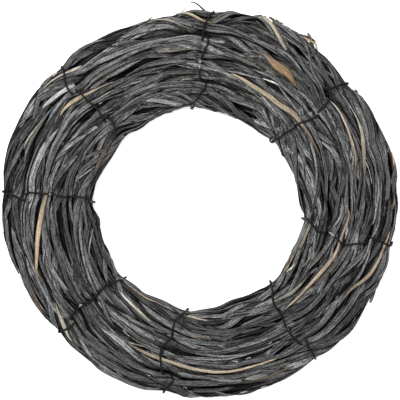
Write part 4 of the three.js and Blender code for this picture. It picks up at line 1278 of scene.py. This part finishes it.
def wire_colours(path):
    """Black, and bright where the wire is worn."""
    brightness = np.zeros(len(path))
    for x, y, reach in WORN_SPOTS:
        gone = np.hypot(path[:, 0] * SEEN_LARGER / MM - x, path[:, 1] * SEEN_LARGER / MM - y)
        brightness = np.maximum(brightness, 1 - smooth(2 * gone / reach - 1))
    on_top = path[:, 2] > CENTRE_HEIGHT + WIRE_DIP
    return mix(WIRE_BLACK, WIRE_WORN, (brightness * on_top)[:, None])


def add_wire(pile, points, radius, draw):
    path = rounded(points)
    longer = np.concatenate([[2 * path[0] - path[1]], path, [2 * path[-1] - path[-2]]])
    tangent = unit(longer[2:] - longer[:-2])
    guide = unit(np.cross(tangent, WIRE_GUIDE))
    other = np.cross(tangent, guide)
    turn = np.arange(WIRE_SIDES) / WIRE_SIDES * TURN
    gone = np.concatenate([[0], np.cumsum(np.linalg.norm(np.diff(path, axis=0), axis=1))])
    size = np.full(len(path), radius)
    size[[0, -1]] *= WIRE_TIP
    rings = path[:, None] + size[:, None, None] * (
        guide[:, None] * np.cos(turn)[:, None] + other[:, None] * np.sin(turn)[:, None])
    lie = np.stack([
        np.broadcast_to(gone[:, None], rings.shape[:2]),
        np.broadcast_to(turn * radius, rings.shape[:2]),
        np.full(rings.shape[:2], draw.uniform(0, 1)),
    ], axis=-1)
    rings[..., 2] = np.maximum(rings[..., 2], FLOOR_CLEARANCE)
    colours = np.repeat(wire_colours(path)[:, None], WIRE_SIDES, axis=1)
    pile.add(rings, lie, np.zeros(rings.shape[:2]), colours)


def wire_pile(number, draw):
    tie = TIES[number]
    pile = StripPile()
    for starts_over in (True, False):
        add_wire(pile, strand_points(tie, TIE_ARCS[number], starts_over), WIRE_RADIUS, draw)
    add_wire(pile, knot_points(*KNOTS[number]), KNOT_WIRE_RADIUS, draw)
    return pile


# Shader groups. Sizes of grain and noise are lengths on the wreath. A pair says where a noise value starts to
# show and where it shows in full.
SEED_SPACING = 61.0
GRAIN = dict(length=7 * MM, width=0.9 * MM, detail=2.0)
LINES = dict(length=45 * MM, width=0.8 * MM, detail=1.0)
MOTTLE = dict(length=1.3 * MM, width=1.1 * MM, detail=1.0)
BANDS = dict(length=30 * MM, width=4 * MM, detail=1.0)
GRAIN_SHOWS, LINES_SHOW, MOTTLE_SHOWS, BANDS_SHOW = (0.38, 0.62), (0.36, 0.64), (0.36, 0.64), (0.30, 0.70)
GRAIN_WEIGHT, LINES_WEIGHT, MOTTLE_WEIGHT, BANDS_WEIGHT = 0.4, 0.36, 0.36, 0.25
# Painted shade: strip edges are darkened where strips meet, so the gaps between them look shaded.
EDGE_SHADE_SHOWS = (0.68, 0.88)
# Painted highlight: on some strips, a light line along one edge.
EDGE_HIGHLIGHT_SHOWS = (0.55, 0.7)
WITHOUT_EDGE_HIGHLIGHT = 0.62
# Whitish dust patches, which also stand for painted sheen on the strips.
DUST_SHEEN_PATCH, DUST_SHEEN_DETAIL, DUST_SHEEN_SHOWS = 9 * MM, 3.0, (0.46, 0.74)
# Fine light flecks, which also stand for painted glints.
SPECK_GLINT_SIZE, SPECK_GLINT_DETAIL, SPECK_GLINTS_SHOW = 1.1 * MM, 2.0, (0.60, 0.74)
DUST_SPECKS_SHEEN_ROUGHNESS = 0.6


def group_tree(name, inputs, outputs):
    tree = bpy.data.node_groups.new(name, "ShaderNodeTree")
    for label, kind, value in inputs:
        socket = tree.interface.new_socket(label, in_out="INPUT", socket_type=kind)
        if value is not None:
            socket.default_value = value
    for label, kind in outputs:
        tree.interface.new_socket(label, in_out="OUTPUT", socket_type=kind)
    return tree, tree.nodes.new("NodeGroupInput"), tree.nodes.new("NodeGroupOutput")


def math_node(tree, operation, a, b=None, clamp=False):
    node = tree.nodes.new("ShaderNodeMath")
    node.operation = operation
    node.use_clamp = clamp
    for socket, value in zip(node.inputs, (a, b)):
        if value is None:
            continue
        if isinstance(value, (int, float)):
            socket.default_value = value
        else:
            tree.links.new(value, socket)
    return node.outputs[0]


def times(tree, a, b, clamp=False):
    return math_node(tree, "MULTIPLY", a, b, clamp)


def noise_node(tree, vector, scale, detail, roughness=0.55):
    node = tree.nodes.new("ShaderNodeTexNoise")
    node.inputs["Scale"].default_value = scale
    node.inputs["Detail"].default_value = detail
    node.inputs["Roughness"].default_value = roughness
    tree.links.new(vector, node.inputs["Vector"])
    return node.outputs["Fac"]


def spread_node(tree, value, shows):
    node = tree.nodes.new("ShaderNodeMapRange")
    node.interpolation_type = "SMOOTHSTEP"
    node.inputs["From Min"].default_value, node.inputs["From Max"].default_value = shows
    tree.links.new(value, node.inputs["Value"])
    return node.outputs["Result"]


def shade_node(tree, value, contrast, weight):
    """Turns a value around a half into a factor around one."""
    centred = math_node(tree, "SUBTRACT", value, 0.5)
    scaled = times(tree, centred, times(tree, contrast, 2 * weight))
    return math_node(tree, "ADD", scaled, 1.0)


def dried_fibre_group():
    """Lengthwise fibre of a dried leaf. Lie is along the strip, across it and its seed."""
    tree, start, end = group_tree(
        "dried_fibre",
        [("Lie", "NodeSocketVector", None), ("Fibre Size", "NodeSocketFloat", 1.0),
         ("Contrast", "NodeSocketFloat", 1.0)],
        [("Shade", "NodeSocketFloat"), ("Band", "NodeSocketFloat"), ("Height", "NodeSocketFloat")],
    )
    parts = tree.nodes.new("ShaderNodeSeparateXYZ")
    tree.links.new(start.outputs["Lie"], parts.inputs[0])
    seed = times(tree, parts.outputs["Z"], SEED_SPACING)

    def streaks(length, width, detail):
        along, across = (
            math_node(tree, "DIVIDE", parts.outputs[axis], times(tree, start.outputs["Fibre Size"], size))
            for axis, size in (("X", length), ("Y", width)))
        at = tree.nodes.new("ShaderNodeCombineXYZ")
        for socket, value in zip(at.inputs, (along, across, seed)):
            tree.links.new(value, socket)
        return noise_node(tree, at.outputs[0], 1.0, detail)

    grain, lines, mottle, bands = (streaks(**values) for values in (GRAIN, LINES, MOTTLE, BANDS))
    band = spread_node(tree, bands, BANDS_SHOW)
    contrast = start.outputs["Contrast"]
    shade = shade_node(tree, spread_node(tree, grain, GRAIN_SHOWS), contrast, GRAIN_WEIGHT)
    for value, weight in ((spread_node(tree, lines, LINES_SHOW), LINES_WEIGHT),
                          (spread_node(tree, mottle, MOTTLE_SHOWS), MOTTLE_WEIGHT), (band, BANDS_WEIGHT)):
        shade = times(tree, shade, shade_node(tree, value, contrast, weight))
    tree.links.new(shade, end.inputs["Shade"])
    tree.links.new(band, end.inputs["Band"])
    tree.links.new(math_node(tree, "ADD", grain, lines), end.inputs["Height"])
    return tree


def strip_edge_shade_group():
    """Painted shade along a strip's edges, and on some strips a painted highlight, a light line along one edge.
    """
    tree, start, end = group_tree(
        "strip_edge_shade",
        [("Edge", "NodeSocketFloat", 0.0), ("Seed", "NodeSocketFloat", 0.0),
         ("Darkening", "NodeSocketFloat", 0.8)],
        [("Shade", "NodeSocketFloat"), ("Edge Highlight", "NodeSocketFloat")],
    )
    edge = start.outputs["Edge"]
    # The outer part of the strip's width is darkened: painted shade between strips.
    outer = spread_node(tree, math_node(tree, "ABSOLUTE", edge), EDGE_SHADE_SHOWS)
    darker = times(tree, outer, start.outputs["Darkening"])
    tree.links.new(math_node(tree, "SUBTRACT", 1.0, darker), end.inputs["Shade"])
    # Only some strips get the painted highlight along one edge.
    lined = math_node(tree, "GREATER_THAN", start.outputs["Seed"], WITHOUT_EDGE_HIGHLIGHT)
    inside = math_node(tree, "SUBTRACT", 1.0, outer)
    line = times(tree, times(tree, spread_node(tree, edge, EDGE_HIGHLIGHT_SHOWS), inside), lined)
    tree.links.new(line, end.inputs["Edge Highlight"])
    return tree


def dust_specks_sheen_group():
    """Whitish dust in soft patches, partly painted sheen, and fine light flecks, partly painted glints, from
    where a place lies on the wreath.
    """
    tree, start, end = group_tree(
        "dust_specks_sheen",
        [("Position", "NodeSocketVector", None)],
        [("Dust And Sheen", "NodeSocketFloat"), ("Specks And Glints", "NodeSocketFloat")],
    )
    for label, size, detail, shows in (("Dust And Sheen", DUST_SHEEN_PATCH, DUST_SHEEN_DETAIL, DUST_SHEEN_SHOWS),
                                       ("Specks And Glints", SPECK_GLINT_SIZE, SPECK_GLINT_DETAIL, SPECK_GLINTS_SHOW)):
        noise = noise_node(tree, start.outputs["Position"], 1 / size, detail, DUST_SPECKS_SHEEN_ROUGHNESS)
        tree.links.new(spread_node(tree, noise, shows), end.inputs[label])
    return tree


dried_fibre = dried_fibre_group()
strip_edge_shade = strip_edge_shade_group()
dust_specks_sheen = dust_specks_sheen_group()


def placed_group(tree, group, **values):
    node = tree.nodes.new("ShaderNodeGroup")
    node.node_tree = group
    for label, value in values.items():
        node.inputs[label.replace("_", " ")].default_value = value
    return node


def attribute_node(tree, name):
    node = tree.nodes.new("ShaderNodeAttribute")
    node.attribute_name = name
    return node


# Where a mix node has its factor, its two colours and, among its outputs, the mixed colour.
MIX_INPUTS = (0, 6, 7)
MIXED_COLOUR = 2


def blend_colours(tree, kind, factor, a, b):
    node = tree.nodes.new("ShaderNodeMix")
    node.data_type = "RGBA"
    node.blend_type = kind
    node.clamp_result = False
    for place_in_node, value in zip(MIX_INPUTS, (factor, a, b)):
        socket = node.inputs[place_in_node]
        if isinstance(value, (int, float)):
            socket.default_value = value
        elif isinstance(value, tuple):
            socket.default_value = (*value, 1.0)
        else:
            tree.links.new(value, socket)
    return node.outputs[MIXED_COLOUR]


def material_tree(name):
    material = bpy.data.materials.new(name)
    material.use_nodes = True
    tree = material.node_tree
    shader = next(node for node in tree.nodes if node.type == "BSDF_PRINCIPLED")
    return material, tree, shader


def grey_of(tree, value):
    colour = tree.nodes.new("ShaderNodeCombineColor")
    for socket in colour.inputs:
        tree.links.new(value, socket)
    return colour.outputs[0]


# Colours of the dust with its painted sheen, of the painted edge highlight, and of the flecks with their
# painted glints.
DUST_SHEEN_COLOUR = (0.17, 0.17, 0.162)
EDGE_HIGHLIGHT_COLOUR = (0.07, 0.07, 0.066)
SPECK_GLINT_COLOUR = (0.15, 0.15, 0.143)
SPECK_GLINT_SHARE = 0.6
SHOWN_GAIN = 15.0
LEAF_SHINE = 0.07
LEAF_BUMP = 0.7
LEAF_RELIEF = 0.25 * MM
LEAF_ROUGHNESS = (0.45, 0.75)
WIRE_FIBRE = dict(Fibre_Size=1.5, Contrast=0.5)
WIRE_ROUGHNESS = 0.5
WIRE_SHINE = 0.1


def leaf_material(name, contrast=1.0, edge_shading=0.96, dust_sheen=0.2, line=0.6):
    """A dried leaf: the strip's own colour with fibre along it, painted shade at its edges, dust with painted
    sheen, and fine flecks with painted glints.

    The dust and its sheen, the painted edge highlights and the flecks and glints fade on strips that are nearly
    black.
    """
    material, tree, shader = material_tree(name)
    lie = attribute_node(tree, "lie").outputs["Vector"]
    colour = attribute_node(tree, "strip_colour").outputs["Color"]
    fibre = placed_group(tree, dried_fibre, Contrast=contrast)
    tree.links.new(lie, fibre.inputs["Lie"])
    edges = placed_group(tree, strip_edge_shade, Darkening=edge_shading)
    tree.links.new(attribute_node(tree, "edge").outputs["Fac"], edges.inputs["Edge"])
    parts = tree.nodes.new("ShaderNodeSeparateXYZ")
    tree.links.new(lie, parts.inputs[0])
    tree.links.new(parts.outputs["Z"], edges.inputs["Seed"])
    position = tree.nodes.new("ShaderNodeTexCoord")
    dust_specks_sheen_node = placed_group(tree, dust_specks_sheen)
    tree.links.new(position.outputs["Object"], dust_specks_sheen_node.inputs["Position"])
    own = tree.nodes.new("ShaderNodeRGBToBW")
    tree.links.new(colour, own.inputs[0])
    shown = times(tree, own.outputs[0], SHOWN_GAIN, clamp=True)
    # Dust in patches, partly painted sheen.
    dust_sheen_share = times(tree, times(tree, dust_specks_sheen_node.outputs["Dust And Sheen"], dust_sheen), shown)
    colour = blend_colours(tree, "MIX", dust_sheen_share, colour, DUST_SHEEN_COLOUR)
    # The fibre's tone, times the painted shade at the strip's edges.
    shade = times(tree, fibre.outputs["Shade"], edges.outputs["Shade"])
    colour = blend_colours(tree, "MULTIPLY", 1.0, colour, grey_of(tree, shade))
    # A painted highlight along one edge of some strips.
    lined = times(tree, times(tree, edges.outputs["Edge Highlight"], line), shown)
    colour = blend_colours(tree, "ADD", lined, colour, EDGE_HIGHLIGHT_COLOUR)
    # Fine light flecks, partly painted glints.
    speck_glint_share = times(tree, times(tree, dust_specks_sheen_node.outputs["Specks And Glints"], SPECK_GLINT_SHARE), shown)
    colour = blend_colours(tree, "ADD", speck_glint_share, colour, SPECK_GLINT_COLOUR)
    tree.links.new(colour, shader.inputs["Base Color"])
    rough = tree.nodes.new("ShaderNodeMapRange")
    rough.inputs["To Min"].default_value, rough.inputs["To Max"].default_value = LEAF_ROUGHNESS
    tree.links.new(fibre.outputs["Band"], rough.inputs["Value"])
    tree.links.new(rough.outputs["Result"], shader.inputs["Roughness"])
    shader.inputs["Specular IOR Level"].default_value = LEAF_SHINE
    bump = tree.nodes.new("ShaderNodeBump")
    bump.inputs["Strength"].default_value = LEAF_BUMP
    bump.inputs["Distance"].default_value = LEAF_RELIEF
    tree.links.new(fibre.outputs["Height"], bump.inputs["Height"])
    tree.links.new(bump.outputs["Normal"], shader.inputs["Normal"])
    return material


def wire_material():
    """Black wire, a little uneven, and bright where its own colour says that it is worn."""
    material, tree, shader = material_tree("tie_wire")
    fibre = placed_group(tree, dried_fibre, **WIRE_FIBRE)
    tree.links.new(attribute_node(tree, "lie").outputs["Vector"], fibre.inputs["Lie"])
    own = attribute_node(tree, "strip_colour").outputs["Color"]
    colour = blend_colours(tree, "MULTIPLY", 1.0, own, grey_of(tree, fibre.outputs["Shade"]))
    tree.links.new(colour, shader.inputs["Base Color"])
    shader.inputs["Roughness"].default_value = WIRE_ROUGHNESS
    shader.inputs["Specular IOR Level"].default_value = WIRE_SHINE
    return material


SLOTS = {"peach": "peach_leaf", "tan": "tan_leaf", "pale_tan": "tan_leaf", "gold_tan": "tan_leaf",
         "pale": "pale_leaf", "brown": "brown_leaf", "olive": "olive_leaf"}
# Lighter leaves get less painted edge shade, less dust and painted sheen, and no painted edge highlight.
LIGHT_LEAF = dict(contrast=0.6, edge_shading=0.5, dust_sheen=0.05, line=0.0)


def make_bunches():
    piles = {(course, span): StripPile() for course in range(len(COURSES)) for span in range(len(TIES))}
    for course in range(len(COURSES)):
        lay_course(piles, course, np.random.default_rng(BUNCH_SEED + course))
    lay_bridges(piles, np.random.default_rng(BRIDGE_SEED))

    def bunch_piles(strip, share):
        for span, low, high in stretches(strip.low, strip.high, share):
            yield piles[strip.course, span], low, high

    draw = np.random.default_rng(ACCENT_SEED)
    for values in (*ACCENTS, *CROSSING):
        lay_traced_strip(TracedStrip(**values), draw, bunch_piles)
    # Painted shadows: near-black strips laid over the deep gaps.
    for track in SHADOWS:
        lay_traced_strip(TracedStrip(track, (SHADOW_COLOUR,)), draw, bunch_piles)
    lay_ragged_ends(piles, draw)
    dark_leaf = leaf_material("dark_leaf")
    for (course, span), pile in piles.items():
        node = f"{COURSES[course]}_bunch_{span + 1}"
        finish_piece(f"{node}_strips", pile, dark_leaf, node)


def make_light_strips():
    leaves = {tint: leaf_material(f"{tint}_leaf", **LIGHT_LEAF) for tint in SLOTS}
    draw = np.random.default_rng(LIGHT_STRIP_SEED)
    for strip in light_strips:
        pile = StripPile()

        def whole_strip(strip, share):
            return [(pile, strip.low, strip.high)]

        lay_traced_strip(strip, draw, whole_strip)
        finish_piece(f"{strip.name}_leaf", pile, leaves[strip.tint], strip.name)


def make_wires():
    wire = wire_material()
    draw = np.random.default_rng(WIRE_SEED)
    for number in range(len(TIES)):
        node = f"wire_tie_{number + 1}"
        finish_piece(f"{node}_wires", wire_pile(number, draw), wire, node)


# Floor, light and camera.
FLOOR_SIZE = 6.0
FLOOR_COLOUR = (0.95, 0.95, 0.95, 1)
FLOOR_ROUGHNESS = 0.9
FLOOR_GLOW = 0.45
WHITE = (1, 1, 1, 1)
STUDIO_LIGHT = 1.05
SOFTBOX_SIZE = 0.9
SOFTBOX_WATTS = 18
SOFTBOX_X, SOFTBOX_Y, SOFTBOX_Z = -0.45, 0.55, 1.25
PICTURE_SIDE = 400 * MM
SENSOR = 36
CAMERA_X = 0.45 * MM
CAMERA_Y = 2.65 * MM


def lay_floor():
    half = FLOOR_SIZE / 2
    mesh = bpy.data.meshes.new("floor")
    corners = [(-half, -half, 0), (half, -half, 0), (half, half, 0), (-half, half, 0)]
    mesh.from_pydata(corners, [], [(0, 1, 2, 3)])
    floor = bpy.data.objects.new("floor", mesh)
    bpy.context.scene.collection.objects.link(floor)
    material, _, shader = material_tree("floor_paint")
    shader.inputs["Base Color"].default_value = FLOOR_COLOUR
    shader.inputs["Roughness"].default_value = FLOOR_ROUGHNESS
    shader.inputs["Emission Color"].default_value = WHITE
    shader.inputs["Emission Strength"].default_value = FLOOR_GLOW
    mesh.materials.append(material)


def set_light():
    world = bpy.data.worlds.new("studio")
    world.use_nodes = True
    background = next(node for node in world.node_tree.nodes if node.type == "BACKGROUND")
    background.inputs["Color"].default_value = WHITE
    background.inputs["Strength"].default_value = STUDIO_LIGHT
    bpy.context.scene.world = world
    lamp = bpy.data.lights.new("softbox", "AREA")
    lamp.size = SOFTBOX_SIZE
    lamp.energy = SOFTBOX_WATTS
    softbox = bpy.data.objects.new("softbox", lamp)
    softbox.location = (SOFTBOX_X, SOFTBOX_Y, SOFTBOX_Z)
    softbox.rotation_euler = (math.atan2(-SOFTBOX_Y, SOFTBOX_Z), math.atan2(SOFTBOX_X, SOFTBOX_Z), 0)
    bpy.context.scene.collection.objects.link(softbox)


def set_camera():
    lens = bpy.data.cameras.new("camera")
    lens.sensor_width = SENSOR
    lens.lens = SENSOR * (CAMERA_HEIGHT - CENTRE_HEIGHT) / PICTURE_SIDE
    camera = bpy.data.objects.new("camera", lens)
    camera.location = (CAMERA_X, CAMERA_Y, CAMERA_HEIGHT)
    bpy.context.scene.collection.objects.link(camera)
    bpy.context.scene.camera = camera


make_bunches()
make_light_strips()
make_wires()
lay_floor()
set_light()
set_camera()
bpy.context.scene.view_settings.view_transform = "Standard"
